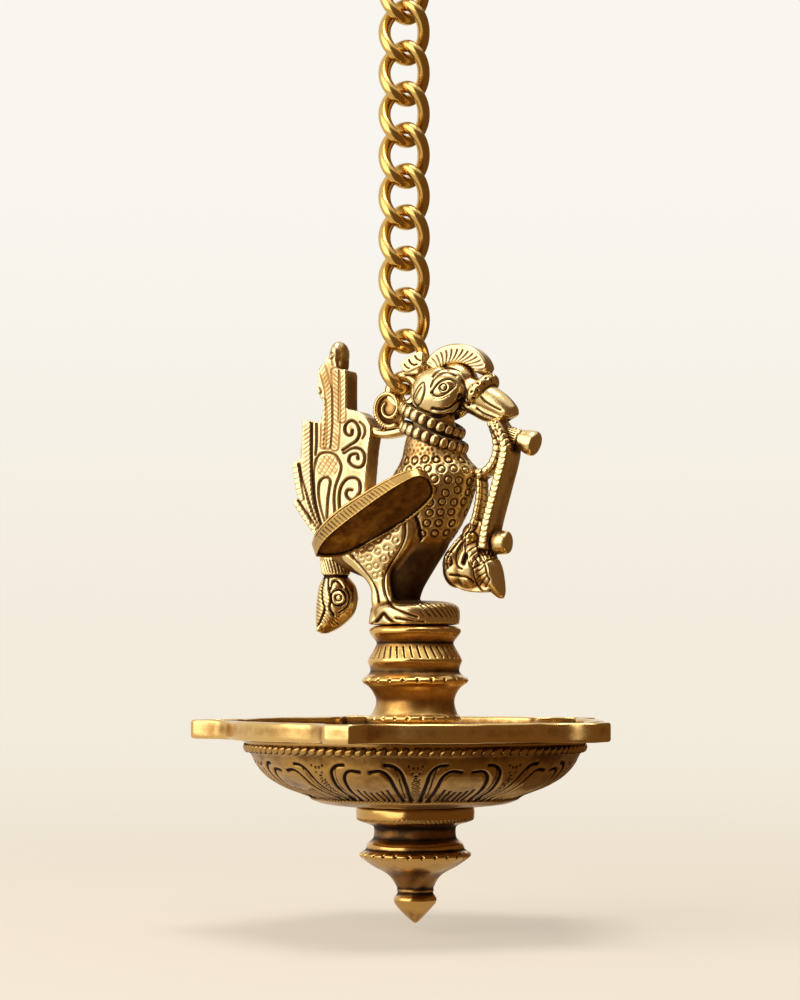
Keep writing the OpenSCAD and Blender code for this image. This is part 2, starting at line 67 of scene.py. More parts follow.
def piece_from(name, points, faces, place=(0, 0, 0)):
    """Makes an object from points in millimetres, moved to its place, in metres."""
    mesh = bpy.data.meshes.new(name)
    mesh.from_pydata(((np.asarray(points) + place) / 1000).tolist(), [], faces)
    mesh.validate()
    mesh.polygons.foreach_set("use_smooth", np.ones(len(mesh.polygons), bool))
    return placed(name, mesh)


def skin(rings, closed=False):
    """Closed form over rings of points that all have the same number of points, with its faces outwards."""
    n, m = rings.shape[:2]
    points = rings.reshape(-1, 3)
    first = np.arange(n if closed else n - 1)[:, None] * m
    after, j = (first + m) % (n * m), np.arange(m)
    beside = (j + 1) % m
    quads = np.stack(np.broadcast_arrays(first + j, first + beside, after + beside, after + j), 2).reshape(-1, 4)
    a, b, c, d = (points[quads[:, k]] - points.mean(0) for k in range(4))
    inside_out = (np.cross(a, b) * c + np.cross(a, c) * d).sum() < 0
    faces = quads[:, ::-1 if inside_out else 1].tolist()
    if not closed:
        ends = [list(range(m - 1, -1, -1)), list(range((n - 1) * m, n * m))]
        faces += [end[::-1] for end in ends] if inside_out else ends
    return points, faces


def section(count, square):
    """Round outline of unit radius, boxier as square falls below 1."""
    a = np.linspace(0, 2 * np.pi, count, endpoint=False)
    return [np.sign(v) * np.abs(v) ** square for v in (np.cos(a), np.sin(a))]


def hoop(radius, count=72):
    """Points round a circle."""
    return radius * np.stack(section(count, 1.0), 1)


def swept(path, wide, thick, square=1.0, closed=False):
    """Bar along a path in the upright middle plane. Its section is wide in that plane and thick across it."""
    path = np.asarray(path, float)
    n = len(path)
    if closed:
        d = np.roll(path, -1, 0) - np.roll(path, 1, 0)
    else:
        d = np.gradient(path, axis=0)
    d /= np.linalg.norm(d, axis=1)[:, None]
    out = np.stack([-d[:, 1], d[:, 0]], 1)
    c, s = section(28, square)
    w = np.broadcast_to(np.asarray(wide, float), n)[:, None] / 2 * c
    t = np.broadcast_to(np.asarray(thick, float), n)[:, None] / 2 * s
    rings = np.stack([path[:, :1] + out[:, :1] * w, t, path[:, 1:] + out[:, 1:] * w], 2)
    return skin(rings, closed)


def turned(profile, count=64):
    """Solid of revolution about the upright axis, from pairs of radius and height that start and end on it."""
    a = np.linspace(0, 2 * np.pi, count, endpoint=False)
    return skin(np.array([[[r * math.cos(t), r * math.sin(t), z] for t in a] for r, z in profile]))


def turn_about(points, axis, degrees):
    """Points turned about an axis through the origin."""
    k, t = np.asarray(axis, float), math.radians(degrees)
    return points * math.cos(t) + np.cross(k, points) * math.sin(t) + np.outer(points @ k, k) * (1 - math.cos(t))


def evened(points, edges, rounds):
    """Points drawn half way to the mean of their neighbours, round after round."""
    n = len(points)
    ends = np.concatenate([edges[:, 0], edges[:, 1]])
    other = np.concatenate([edges[:, 1], edges[:, 0]])
    count = np.maximum(np.bincount(ends, minlength=n), 1)[:, None]
    p = points.copy()
    for _ in range(rounds):
        mean = np.stack([np.bincount(ends, p[other, k], n) for k in range(3)], 1) / count
        p += (mean - p) / 2
    return p


def mesh_arrays(mesh):
    """Points in millimetres, edges and point normals of a mesh, as arrays."""
    points = np.empty(len(mesh.vertices) * 3)
    mesh.vertices.foreach_get("co", points)
    edges = np.empty(len(mesh.edges) * 2, np.int64)
    mesh.edges.foreach_get("vertices", edges)
    normals = np.empty(len(mesh.vertices) * 3)
    mesh.vertex_normals.foreach_get("vector", normals)
    return points.reshape(-1, 3) * 1000, edges.reshape(-1, 2), normals.reshape(-1, 3)


def set_points(mesh, points):
    """Moves a mesh's points to these places in millimetres."""
    mesh.vertices.foreach_set("co", (points / 1000).ravel())
    mesh.update()


def cast(name, forms, grain, rounds, place=(0, 0, 0)):
    """Runs overlapping closed forms into one skin with faces of about the grain's size, and eases it."""
    rough = piece_from(name + "_rough", *joined(forms))
    rough.data.transform(((1000, 0, 0, 0), (0, 1000, 0, 0), (0, 0, 1000, 0), (0, 0, 0, 1)))
    melt = rough.modifiers.new("melt", "REMESH")
    melt.mode, melt.voxel_size, melt.use_smooth_shade = "VOXEL", grain, True
    evaluated = rough.evaluated_get(bpy.context.evaluated_depsgraph_get())
    mesh = bpy.data.meshes.new_from_object(evaluated)
    mesh.name = name
    bpy.data.objects.remove(rough)
    points, edges, _ = mesh_arrays(mesh)
    set_points(mesh, evened(points / 1000, edges, rounds) + place)
    return placed(name, mesh)


def settle_grime_and_shade(piece, cut=0.0, tarnish_and_shade=0.0):
    """Stores how far each point is browned or given painted shade, and how many millimetres it lies below the skin
    close around it and further out.
    """
    points, edges, normals = mesh_arrays(piece.data)
    step = np.linalg.norm(points[edges[:, 0]] - points[edges[:, 1]], axis=1).mean()
    layers = {"tarnish_and_shade": np.zeros(len(points)) + tarnish_and_shade}
    for name, reach, extra in (("recess", 0.5, 0.35 * cut), ("hollow", 2.2, 0.0)):
        rounds = max(2, min(200, round((2 * reach / step) ** 2)))
        layers[name] = ((evened(points, edges, rounds) - points) * normals).sum(1) + extra
    for name, values in layers.items():
        layer = piece.data.attributes.new(name, "FLOAT", "POINT")
        layer.data.foreach_set("value", values.astype(np.float32))


class Flow:
    """One socket of a node tree. Sums, differences, products and quotients of flows add Math nodes."""

    def __init__(self, tree, socket=None):
        self.tree, self.socket = tree, socket

    def node(self, kind, settings=None, inputs=None, out=0):
        made = self.tree.nodes.new(kind)
        for key, value in (settings or {}).items():
            setattr(made, key, value)
        for key, value in (inputs or {}).items():
            if isinstance(value, Flow):
                self.tree.links.new(value.socket, made.inputs[key])
            else:
                made.inputs[key].default_value = value
        return Flow(self.tree, made.outputs[out] if made.outputs else None)

    def math(self, operation, *values):
        return self.node("ShaderNodeMath", {"operation": operation}, dict(enumerate(values)))

    def __add__(self, other):
        return self.math("ADD", self, other)

    def __sub__(self, other):
        return self.math("SUBTRACT", self, other)

    def __rsub__(self, other):
        return self.math("SUBTRACT", other, self)

    def __mul__(self, other):
        return self.math("MULTIPLY", self, other)

    def __truediv__(self, other):
        return self.math("DIVIDE", self, other)

    def __rtruediv__(self, other):
        return self.math("DIVIDE", other, self)

    __radd__, __rmul__ = __add__, __mul__

    def ease(self, low, high):
        """0 below low and 1 above high, with a soft rise between."""
        return self.node("ShaderNodeMapRange", {"interpolation_type": "SMOOTHSTEP"}, {0: self, 1: low, 2: high})

    def mix(self, dark, light):
        """Colour from dark to light as this flow goes from 0 to 1."""
        dark, light = [c if isinstance(c, Flow) else (*c, 1) for c in (dark, light)]
        return self.node("ShaderNodeMix", {"data_type": "RGBA"}, {0: self, 6: dark, 7: light}, 2)


def blank(owner):
    """Empties the nodes of a material or world, and returns a flow on them."""
    owner.use_nodes = True
    owner.node_tree.nodes.clear()
    return Flow(owner.node_tree)


def brass(name, bright, brown, grime_and_shade, gloss=0.27, handled=0.0, pits=0.25, dents=0.25, black=0.19):
    """Old brass: rubbed bright on what stands proud, brown on the flats and black with soot in the recesses. Broad
    hollows and the stored browning layer also paint shade into the brown and the black.
    """
    material = bpy.data.materials.new(name)
    flow = blank(material)
    place = flow.node("ShaderNodeTexCoord", out="Object")
    recess, hollow, tarnish_and_shade = (flow.node("ShaderNodeAttribute", {"attribute_name": layer}, out="Fac")
                               for layer in ("recess", "hollow", "tarnish_and_shade"))

    def cloud(scale, detail, rough=0.55):
        return flow.node("ShaderNodeTexNoise", inputs={
            "Vector": place, "Scale": scale, "Detail": detail, "Roughness": rough})

    broad, blotch, speck = cloud(55, 3), cloud(330, 4), cloud(1900, 3, 0.65)
    grain = 0.10 * (blotch - 0.5) + 0.06 * (speck - 0.5)
    # Painted shade: broad hollows and the stored layer deepen the black and the brown, on top of the real soot in fine
    # recesses.
    soot_and_shade = (recess + 0.12 * hollow + 0.25 * tarnish_and_shade.ease(1, 2) + grain).ease(0.03, black)
    stain_and_shade = (0.9 * (broad + blotch - 1) + 1.8 * recess + 1.2 * hollow + 0.9 * tarnish_and_shade - handled).ease(-0.35, 0.4)
    rubbed = (0.12 * (speck - 0.5) - recess - 0.1 * hollow - 0.03 * tarnish_and_shade).ease(0.01, 0.12)
    colour = soot_and_shade.mix(rubbed.mix(stain_and_shade.mix(bright, brown), bright), grime_and_shade)
    roughness = gloss + 0.12 * stain_and_shade + 0.1 * (speck - 0.5) + 0.22 * soot_and_shade - 0.06 * rubbed
    height = pits * 0.05 * speck + dents * 0.4 * blotch
    bump = flow.node("ShaderNodeBump", inputs={"Strength": 0.35, "Distance": 0.0008, "Height": height})
    surface = flow.node("ShaderNodeBsdfPrincipled", inputs={
        "Base Color": colour, "Roughness": roughness, "Metallic": 1 - 0.1 * soot_and_shade, "Normal": bump})
    flow.node("ShaderNodeOutputMaterial", inputs={"Surface": surface})
    return material


def finish(piece, material, body, slot, *nodes):
    """Gives a piece its metal, hangs it on its body and lets it stand for its nodes."""
    piece.data.materials.clear()
    piece.data.materials.append(material)
    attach(piece, body)
    if nodes:
        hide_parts(*nodes)


hook_brass = brass("hook_brass", (0.62, 0.40, 0.13), (0.27, 0.14, 0.035), (0.03, 0.016, 0.006), gloss=0.34, dents=0.5)
seat_r, bar, mouth, mouth_at = 9.0, 5.0, 84, 190
eye_z, eye_r, eye_bar, eye_turn = -26.0, 6.5, 5.0, 65
arc = np.radians(np.linspace(mouth_at + mouth / 2 + 6, mouth_at + 360 - mouth / 2 - 6, 90))
ring = (seat_r + bar / 2) * np.stack([np.cos(arc), np.sin(arc)], 1)
taper = np.clip(np.minimum(np.arange(90), np.arange(90)[::-1]) / 4, 0, 1)
blunt = np.sqrt(np.maximum(1 - (1 - taper) ** 2, 0.02))
hook_ring = swept(ring, bar * blunt, 6.0 * blunt, 0.55)
neck = turned([(0, -21), (2.6, -20.6), (2.7, -19.4), (3.6, -18.4), (3.9, -17.4), (3.6, -16.4), (2.7, -15.6),
               (2.6, -14.6), (3.1, -13.2), (3.4, -12), (2.8, -11), (0, -10.6)])
eye_points, eye_faces = swept(hoop(eye_r), eye_bar, eye_bar, closed=True)
eye_points = turn_about(eye_points, (0, 0, 1), eye_turn) + (0, 0, eye_z)
ceiling_hook = cast("ceiling_hook_brass", [hook_ring, neck, (eye_points, eye_faces)], 0.35, 5)
settle_grime_and_shade(ceiling_hook)
finish(ceiling_hook, hook_brass, "hook", "hook_brass", "ceiling_hook")

# ---- Chain
# Ten curb links of thick brass wire, each bent to a rounded loop, twisted so that it lies across its
# neighbours, and brazed shut. Handling keeps them smoother and brighter than the castings below.

chain_brass = brass("chain_brass", (0.66, 0.43, 0.13), (0.36, 0.20, 0.05), (0.05, 0.025, 0.008), gloss=0.30,
                    handled=0.15, pits=0.15, dents=0.3)


def nodes_tree(name, sizes, whole=()):
    """A geometry tree with named inputs. Returns the tree, a flow on it and its inputs as flows."""
    tree = bpy.data.node_groups.new(name, "GeometryNodeTree")
    for size in sizes:
        kind = "NodeSocketInt" if size in whole else "NodeSocketFloat"
        tree.interface.new_socket(size, in_out="INPUT", socket_type=kind)
    tree.interface.new_socket("Metal", in_out="INPUT", socket_type="NodeSocketMaterial")
    tree.interface.new_socket("Geometry", in_out="OUTPUT", socket_type="NodeSocketGeometry")
    entry = tree.nodes.new("NodeGroupInput")
    return tree, Flow(tree), {s.name: Flow(tree, s) for s in entry.outputs if s.name}


def end_tree(flow, shape, metal):
    """Ends a geometry tree: instances become a mesh with smooth faces and the metal."""
    shape = flow.node("GeometryNodeRealizeInstances", inputs={"Geometry": shape})
    shape = flow.node("GeometryNodeSetShadeSmooth", inputs={"Geometry": shape})
    shape = flow.node("GeometryNodeSetMaterial", inputs={"Geometry": shape, "Material": metal})
    flow.node("NodeGroupOutput", inputs={"Geometry": shape})


def grown(name, tree, sizes):
    """Runs a geometry tree with these sizes and keeps its result as a plain mesh."""
    piece = placed(name, bpy.data.meshes.new(name))
    growth = piece.modifiers.new("growth", "NODES")
    growth.node_group = tree
    for socket in tree.interface.items_tree:
        if socket.in_out == "INPUT":
            growth[socket.identifier] = sizes[socket.name]
    evaluated = piece.evaluated_get(bpy.context.evaluated_depsgraph_get())
    mesh = bpy.data.meshes.new_from_object(evaluated)
    piece.modifiers.remove(growth)
    piece.data = mesh
    mesh.name = name
    return piece


link_tree, flow, size = nodes_tree("curb_link", ["Half Width", "Half Length", "Twist", "Turn", "Wire", "Corner",
                                                 "Height"])
loop = flow.node("GeometryNodeCurvePrimitiveCircle", inputs={"Resolution": 120, "Radius": 1.0})
where = flow.node("ShaderNodeSeparateXYZ", inputs={0: flow.node("GeometryNodeInputPosition")})
across, up = where, Flow(link_tree, where.socket.node.outputs[1])


def rounded(side):
    return flow.math("SIGN", side) * flow.math("POWER", flow.math("ABSOLUTE", side), size["Corner"])


wide, tall = size["Half Width"] * rounded(across), rounded(up)
lean = size["Turn"] - size["Twist"] * tall
bent = flow.node("ShaderNodeCombineXYZ", inputs={
    0: wide * flow.math("COSINE", lean), 1: wide * flow.math("SINE", lean),
    2: size["Half Length"] * tall + size["Height"]})
loop = flow.node("GeometryNodeSetPosition", inputs={"Geometry": loop, "Position": bent})
wire = flow.node("GeometryNodeCurvePrimitiveCircle", inputs={"Resolution": 28, "Radius": size["Wire"]})
link_form = flow.node("GeometryNodeCurveToMesh", inputs={"Curve": loop, "Profile Curve": wire})
end_tree(flow, link_form, size["Metal"])
for n in range(1, 11):
    node = f"chain_link_{n:02d}"
    low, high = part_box(node)
    link = grown(f"curb_link_{n:02d}", link_tree, {
        "Half Width": 0.0066, "Half Length": 0.00925, "Twist": math.radians(50), "Turn": math.radians(25),
        "Wire": 0.0021, "Corner": 0.8, "Height": float(low[2] + high[2]) / 2, "Metal": chain_brass})
    settle_grime_and_shade(link)
    finish(link, chain_brass, f"link_{n:02d}", "chain_brass", node)

# ---- Stem
# The turned post between the bird and the dish: hollow mouldings with a hatched cone and two notched rings.
# It is lathe-turned brass with chased strokes, clamped by the tie stud inside it.

low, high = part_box("stem")
axis_x = float(low[0] + high[0]) * 500
rim_z = float(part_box("oil_dish")[1][2]) * 1000
lamp = (axis_x, 0.0, rim_z)
turned_brass = brass("turned_brass", (0.72, 0.46, 0.15), (0.36, 0.18, 0.045), (0.03, 0.015, 0.005), gloss=0.24,
                     pits=0.2, dents=0.2)


def softened(profile, times=2, keep=0.25):
    """Cuts the corners of a profile, so that turned edges are slightly round."""
    p = np.asarray(profile, float)
    for _ in range(times):
        a, b = p[:-1], p[1:]
        cut = np.empty((2 * len(a), 2))
        cut[0::2], cut[1::2] = a + keep * (b - a), b - keep * (b - a)
        p = np.vstack([p[:1], cut, p[-1:]])
    return p


def spaced(path, step):
    """Points along a path, about a step apart."""
    path = np.asarray(path, float)
    run = np.concatenate([[0], np.cumsum(np.linalg.norm(np.diff(path, axis=0), axis=1))])
    at = np.linspace(0, run[-1], max(2, round(run[-1] / step) + 1))
    return np.stack([np.interp(at, run, path[:, k]) for k in range(path.shape[1])], 1)


def chased(name, profile, step, count, cuts, place, closed=False):
    """Turned skin with chased marks: cuts gives the depth at each angle and point of the profile."""
    line = spaced(profile, step) if step else np.asarray(profile)
    a = np.linspace(0, 2 * np.pi, count, endpoint=False)
    r, z = np.repeat(line[:, :1], count, 1), np.repeat(line[:, 1:], count, 1)
    d = np.gradient(line, axis=0)
    d /= np.maximum(np.linalg.norm(d, axis=1), 1e-9)[:, None]
    depth = cuts(np.broadcast_to(a, r.shape), r, z) * np.clip(line[:, :1] / 2, 0, 1)
    r, z = r - depth * -d[:, 1:], z - depth * d[:, :1]
    rings = np.stack([r * np.cos(a), r * np.sin(a), z], 2)
    piece = piece_from(name, *skin(rings, closed), place=place)
    settle_grime_and_shade(piece, np.maximum(depth, 0).ravel())
    return piece


def off_mark(v, pitch):
    """Distance from the nearest of even marks."""
    return (v + pitch / 2) % pitch - pitch / 2


def stroke(a, count, width, slant=0.0):
    """1 on the middle of count even strokes round the axis, falling to 0 at half their width in radians."""
    return np.clip(1 - (off_mark(a + slant, 2 * np.pi / count) / (width / 2)) ** 2, 0, 1)


def between(v, low, high, edge=0.3):
    """1 between low and high, with soft edges."""
    return np.clip((v - low) / edge, 0, 1) * np.clip((high - v) / edge, 0, 1)


stem_profile = softened([
    (4.2, 31.15), (13.2, 31.15), (15.2, 30.2), (15.3, 29.0), (14.4, 27.8), (12.7, 25.9), (12.6, 24.9), (15.3, 20.4),
    (15.7, 19.6), (15.5, 18.9), (14.6, 17.0), (14.8, 15.4), (16.9, 14.0), (17.6, 13.2), (17.6, 12.8), (16.9, 12.0),
    (15.0, 11.0), (13.2, 8.0), (12.7, 5.6), (14.0, 1.9), (15.2, 1.0), (15.3, 0.2), (14.9, -0.4), (12.9, -0.6),
    (12.9, -1.9), (4.2, -1.9)], 2)


def stem_cuts(a, r, z):
    hatch = 0.45 * stroke(a, 36, 0.055, 0.02 * (z - 22)) * between(z, 20.3, 24.4)
    upper = 0.75 * stroke(a, 23, 0.075) * between(z, 12.2, 14.0, 0.5)
    lower = 0.6 * stroke(a, 21, 0.085, 0.1) * between(z, 0.0, 1.3, 0.4)
    wobble = 0.06 * np.sin(3 * a + 0.4 * z) + 0.04 * np.sin(7 * a - 0.8 * z)
    return hatch + upper + lower + wobble - 0.1


stem = chased("turned_stem", stem_profile, 0.3, 400, stem_cuts, lamp)
finish(stem, turned_brass, "lamp", "cast_brass", "stem")

# ---- Oil dish
# The oil dish: a shallow bowl under a flat rim that runs out into five blunt wick lobes, with a roped ring
# and ten lotus petals chased into its outside. It is cast brass; the edge of the rim is filed smooth.

dish_brass = brass("dish_brass", (0.72, 0.48, 0.18), (0.34, 0.17, 0.045), (0.025, 0.012, 0.005), gloss=0.26,
                   dents=0.35)
# The bowl's brass is a darker copy of the rim's: painted shade for the bowl that hangs under the rim.
bowl_shaded_brass = brass("bowl_shaded_brass", (0.46, 0.27, 0.08), (0.17, 0.075, 0.017), (0.018, 0.006, 0.002), gloss=0.3,
                   dents=0.3)
round_r, reach, tip_w, flank_r, flank_far, first_lobe = 62.5, 74.0, 12.0, 14.0, 76.3, 204
tip_turn = math.atan2(tip_w / 2, reach)
tip_far = math.hypot(reach, tip_w / 2)
flank_turn = tip_turn + math.acos((flank_far**2 + tip_far**2 - flank_r**2) / (2 * flank_far * tip_far))


def lobed(a):
    """Radius of the rim's edge at an angle."""
    t = np.radians(np.abs((np.degrees(a) - first_lobe + 36) % 72 - 36))
    off = t - flank_turn
    flank = flank_far * np.cos(off) - np.sqrt(np.clip(flank_r**2 - (flank_far * np.sin(off)) ** 2, 0, None))
    edge = np.where(t < tip_turn, reach / np.cos(t), np.where(t < flank_turn, np.maximum(flank, round_r), round_r))
    return sum(np.roll(edge, k) for k in range(-3, 4)) / 7


rim_columns, filed_in = 720, 4.0
angles = np.linspace(0, 2 * np.pi, rim_columns, endpoint=False)
edge = lobed(angles)
rim_steps = [(8, -6.2), (4, -6.2), (1.2, -6.2), (0.5, -6.05), (0.12, -5.7), (0, -5.2), (0, -4), (0, -3), (0, -2),
             (0, -1), (0.1, -0.5), (0.4, -0.15), (0.9, 0), (1.6, 0), (2.4, 0), (2.9, -0.15), (3.15, -0.5),
             (3.2, -1), (3.2, -1.8), (3.3, -2.5), (3.6, -2.9), (4.2, -3), (5.6, -3), (7, -3)]
well = spaced(softened([(53.4, -3), (51.6, -3.4), (51.6, -6.4), (49.0, -11.4), (44.4, -16.4), (36.1, -21.4),
                        (28.5, -25.3), (20, -25.4), (13.2, -25.2), (13, -24), (13, -4), (12.6, -3.1),
                        (4.2, -3)], 2), 1.4)
under = [(4.2, -24), (10, -26.5), (24, -26.6), (36, -23), (46, -18), (51.4, -11), (53, -6.6)]
stations = under + [(edge - inset, z) for inset, z in rim_steps] + well.tolist()
rings = np.array([np.stack(np.broadcast_arrays(r * np.cos(angles), r * np.sin(angles), z), 1) for r, z in stations])
filed = 0.07 * np.sin(9 * angles + 1) + 0.05 * np.sin(23 * angles) + 0.04 * np.sin(41 * angles + 2)
for ring, (inset, _) in zip(rings[len(under):], rim_steps):
    ring[:, 2] += filed * max(0, 1 - inset / filed_in)
oil_dish = piece_from("dish_rim_and_well", *skin(rings, True), place=lamp)
settle_grime_and_shade(oil_dish)
finish(oil_dish, dish_brass, "lamp", "cast_brass", "oil_dish")


def gap_to(points, path):
    """Distance of flat points from a path, and how far along the path the nearest place is."""
    gap, along, run = np.full(len(points), 1e9), np.zeros(len(points)), 0.0
    path = np.asarray(path, float)
    near = np.flatnonzero(((points > path.min(0) - 4) & (points < path.max(0) + 4)).all(1))
    q = points[near]
    for a, b in zip(path[:-1], path[1:]):
        d = b - a
        length = math.hypot(*d)
        if length < 1e-9:
            continue
        t = np.clip((q - a) @ d / length**2, 0, 1)
        g = np.hypot(*(q - a - t[:, None] * d).T)
        closer = g < gap[near]
        gap[near[closer]], along[near[closer]] = g[closer], run + t[closer] * length
        run += length
    return gap, along


def flowing(points, steps=6):
    """Smooth line through a few points."""
    p = np.asarray(points, float)
    p = np.vstack([p[:1], p, p[-1:]])
    line = []
    for i in range(1, len(p) - 2):
        a, b, c, d = p[i - 1:i + 3]
        bend, sway = a - 2.5 * b + 2 * c - d / 2, 1.5 * b - 1.5 * c + (d - a) / 2
        line += [b + t * ((c - a) / 2 + t * (bend + t * sway)) for t in np.arange(steps) / steps]
    return np.array(line + [p[-1]])


def groove(gap, width, depth):
    """Depth of a rounded groove at a distance from its middle."""
    return depth * np.exp(-(gap / width) ** 2)


bowl_step = 0.5
bowl_line = spaced(softened([
    (56.6, -5.6), (56.9, -6.6), (56.8, -7.2), (56.0, -7.6), (55.6, -10.0), (54.5, -10.8), (52.3, -15.4), (48.5, -19.2),
    (43.3, -22.1), (37.6, -24.1), (34.6, -25.2), (34.5, -25.9), (30.5, -27.4), (24, -28.1), (20.5, -28.4),
    (4.3, -28.4)], 2, 0.2), bowl_step)
bowl_run = bowl_step * np.arange(len(bowl_line))
petals, petal_at, petal_line, petal_deep = 10, 295, 0.6, 0.85
half_petal = math.pi / petals


def lotus_cuts(a, r, z):
    """Depth of the chased petals. A petal reaches from -1 to 1, and a divider stands at each end of it."""
    f = np.abs((a - math.radians(petal_at)) % (2 * half_petal) / half_petal - 1)
    down = np.interp(-z, -bowl_line[:, 1], bowl_run)
    flat = np.stack([f * half_petal * r, down], 2).reshape(-1, 2)

    def drawn(points):
        rows = flowing(points)
        rr = np.interp(-rows[:, 1], -bowl_line[:, 1], bowl_line[:, 0])
        dd = np.interp(-rows[:, 1], -bowl_line[:, 1], bowl_run)
        return gap_to(flat, np.stack([rows[:, 0] * half_petal * rr, dd], 1))[0]

    outer = [(0.42, -13.3), (0.58, -13.7), (0.71, -15.6), (0.78, -19.5), (0.83, -23.0), (0.86, -25.0)]
    inner = [(0.12, -15.5), (0.33, -15.3), (0.47, -17.2), (0.54, -20.6), (0.59, -23.4), (0.64, -25.0)]
    depth = sum(groove(drawn(line), petal_line, petal_deep) for line in (outer, inner))
    depth += groove(drawn([(0.60, -14.6), (0.655, -17.0), (0.69, -20.5), (0.73, -24.4)]), 0.36, 0.35)
    for side in (0.07, 0.21, 0.35):
        depth += groove(drawn([(side, -22.4 + 3 * side), (side + 0.03, -24.9)]), 0.42, 0.6)
    column = (1 - f) * half_petal * r
    chevron = np.clip(np.cos(2 * np.pi * (down - 0.8 * column) / 1.25), 0, 1)
    depth = depth.reshape(a.shape) + 0.42 * chevron * (column < 1.15) * between(z, -25.0, -17.2)
    for dot_f, dot_z in ((0.96, -14.0), (0.87, -13.4), (0.93, -15.6), (0.985, -16.6)):
        depth += groove(drawn([(dot_f, dot_z), (dot_f, dot_z - 0.1)]), 0.42, 0.4).reshape(a.shape)
    hem = 0.3 * stroke(a, 150, 0.02, 0.05 * z) * between(z, -26.0, -24.9)
    wobble = 0.08 * np.sin(5 * a + 0.3 * z) + 0.05 * np.sin(13 * a - 0.5 * z)
    return depth + hem + wobble


bowl_inside = spaced([(4.3, -27.2), (20, -27.3), (31, -26.2), (38, -22.6), (47, -17.6), (51.6, -12), (53.4, -8),
                      (53.8, -5.6)], 4.0)
bowl_columns = 700
bowl = chased("lotus_bowl", np.vstack([bowl_line, bowl_inside]), 0.0, bowl_columns, lotus_cuts, lamp, True)
finish(bowl, bowl_shaded_brass, "lamp", "cast_brass")

bead_tree, flow, size = nodes_tree("bead_ring", ["Count", "Ring", "Oval", "Tilt", "Height", "Axis", "Long", "Deep",
                                                 "Tall", "Lean"], ["Count"])
circle = flow.node("GeometryNodeMeshCircle", inputs={"Vertices": size["Count"], "Radius": size["Ring"]})
circle = flow.node("GeometryNodeTransform", inputs={
    "Geometry": circle, "Scale": flow.node("ShaderNodeCombineXYZ", inputs={0: 1.0, 1: size["Oval"], 2: 1.0})})
bead = flow.node("GeometryNodeMeshUVSphere", inputs={"Segments": 10, "Rings": 7, "Radius": 1.0})
where = flow.node("ShaderNodeSeparateXYZ", inputs={0: flow.node("GeometryNodeInputPosition")})
facing = flow.math("ARCTAN2", Flow(bead_tree, where.socket.node.outputs[1]) / (size["Oval"] * size["Oval"]), where)
uneven = flow.node("FunctionNodeRandomValue", {"data_type": "FLOAT"}, {2: 0.88, 3: 1.1, "Seed": 5}, 1)
beads = flow.node("GeometryNodeInstanceOnPoints", inputs={
    "Points": circle, "Instance": bead,
    "Rotation": flow.node("ShaderNodeCombineXYZ", inputs={0: size["Lean"], 2: facing}),
    "Scale": flow.node("ShaderNodeCombineXYZ", inputs={0: size["Deep"], 1: size["Long"] * uneven, 2: size["Tall"]})})
beads = flow.node("GeometryNodeTransform", inputs={
    "Geometry": beads, "Rotation": flow.node("ShaderNodeCombineXYZ", inputs={1: size["Tilt"]}),
    "Translation": flow.node("ShaderNodeCombineXYZ", inputs={0: size["Axis"], 2: size["Height"]})})
end_tree(flow, beads, size["Metal"])


def bead_ring(name, metal, count, ring, height, long, deep, tall, lean=0.0, at=0.0, oval=1.0, tilt=0.0):
    """A ring of beads about the lamp's axis or a place forward of it, sizes in millimetres."""
    beads = grown(name, bead_tree, {
        "Count": count, "Ring": ring / 1000, "Oval": oval, "Tilt": math.radians(tilt),
        "Height": (rim_z + height) / 1000, "Axis": (axis_x + at) / 1000,
        "Long": long / 1000, "Deep": deep / 1000, "Tall": tall / 1000, "Lean": lean, "Metal": metal})
    points, _, _ = mesh_arrays(beads.data)
    points = turn_about(points - (axis_x + at, 0, rim_z + height), (0, 1, 0), -tilt)
    out = (np.hypot(points[:, 0], points[:, 1] / oval) - ring) * np.where(oval < 1, 0.9, 1.0)
    # Painted shade on the inner side of each bead, where it sits on the metal below, and a lighter, rubbed outer face.
    for layer_name, depths in (("recess", [0.22, -0.1]), ("hollow", [0.1, 0.0])):
        layer = beads.data.attributes.new(layer_name, "FLOAT", "POINT")
        layer.data.foreach_set("value", np.interp(out, [0.1 * deep, 0.75 * deep], depths).astype(np.float32))
    finish(beads, metal, "lamp", "cast_brass")


bead_ring("bowl_rope", bowl_shaded_brass, 104, 55.5, -8.8, 2.5, 1.45, 1.4, 0.5)

# ---- Finial
# The turned pendant under the bowl, screwed on the tie stud so that it draws the whole lamp together.
# A plain collar with a nicked lower edge, two mouldings, a beaded ring and a pointed bud.

finial_brass = brass("finial_brass", (0.58, 0.34, 0.10), (0.24, 0.11, 0.03), (0.02, 0.01, 0.004), gloss=0.25,
                     dents=0.3)
finial_profile = softened([
    (0.3, -28.45), (19.2, -28.45), (19.6, -29.0), (19.6, -32.3), (19.1, -33.1), (14.0, -34.6), (13.4, -35.6),
    (13.5, -38.4), (14.0, -39.2), (15.7, -40.4), (16.3, -41.4), (16.2, -42.4), (17.2, -43.0), (18.4, -43.6),
    (18.6, -44.4), (18.0, -45.2), (13.8, -48.2), (9.4, -50.3), (7.6, -52.2), (6.4, -54.2), (5.8, -55.4), (6.2, -56.0),
    (5.7, -56.6), (6.0, -57.2), (7.1, -58.4), (7.2, -59.4), (6.6, -60.8), (1.0, -66.3), (0.3, -66.7)], 2)


def finial_cuts(a, r, z):
    nicks = 0.7 * stroke(a, 78, 0.034, 0.12 * (z + 33)) * between(z, -33.5, -32.0, 0.4)
    ring = 0.8 * stroke(a, 26, 0.07, 0.05) * between(z, -45.2, -43.2, 0.5)
    wobble = 0.07 * np.sin(3 * a + 0.5 * z) + 0.05 * np.sin(8 * a - 0.7 * z)
    return nicks + ring + wobble


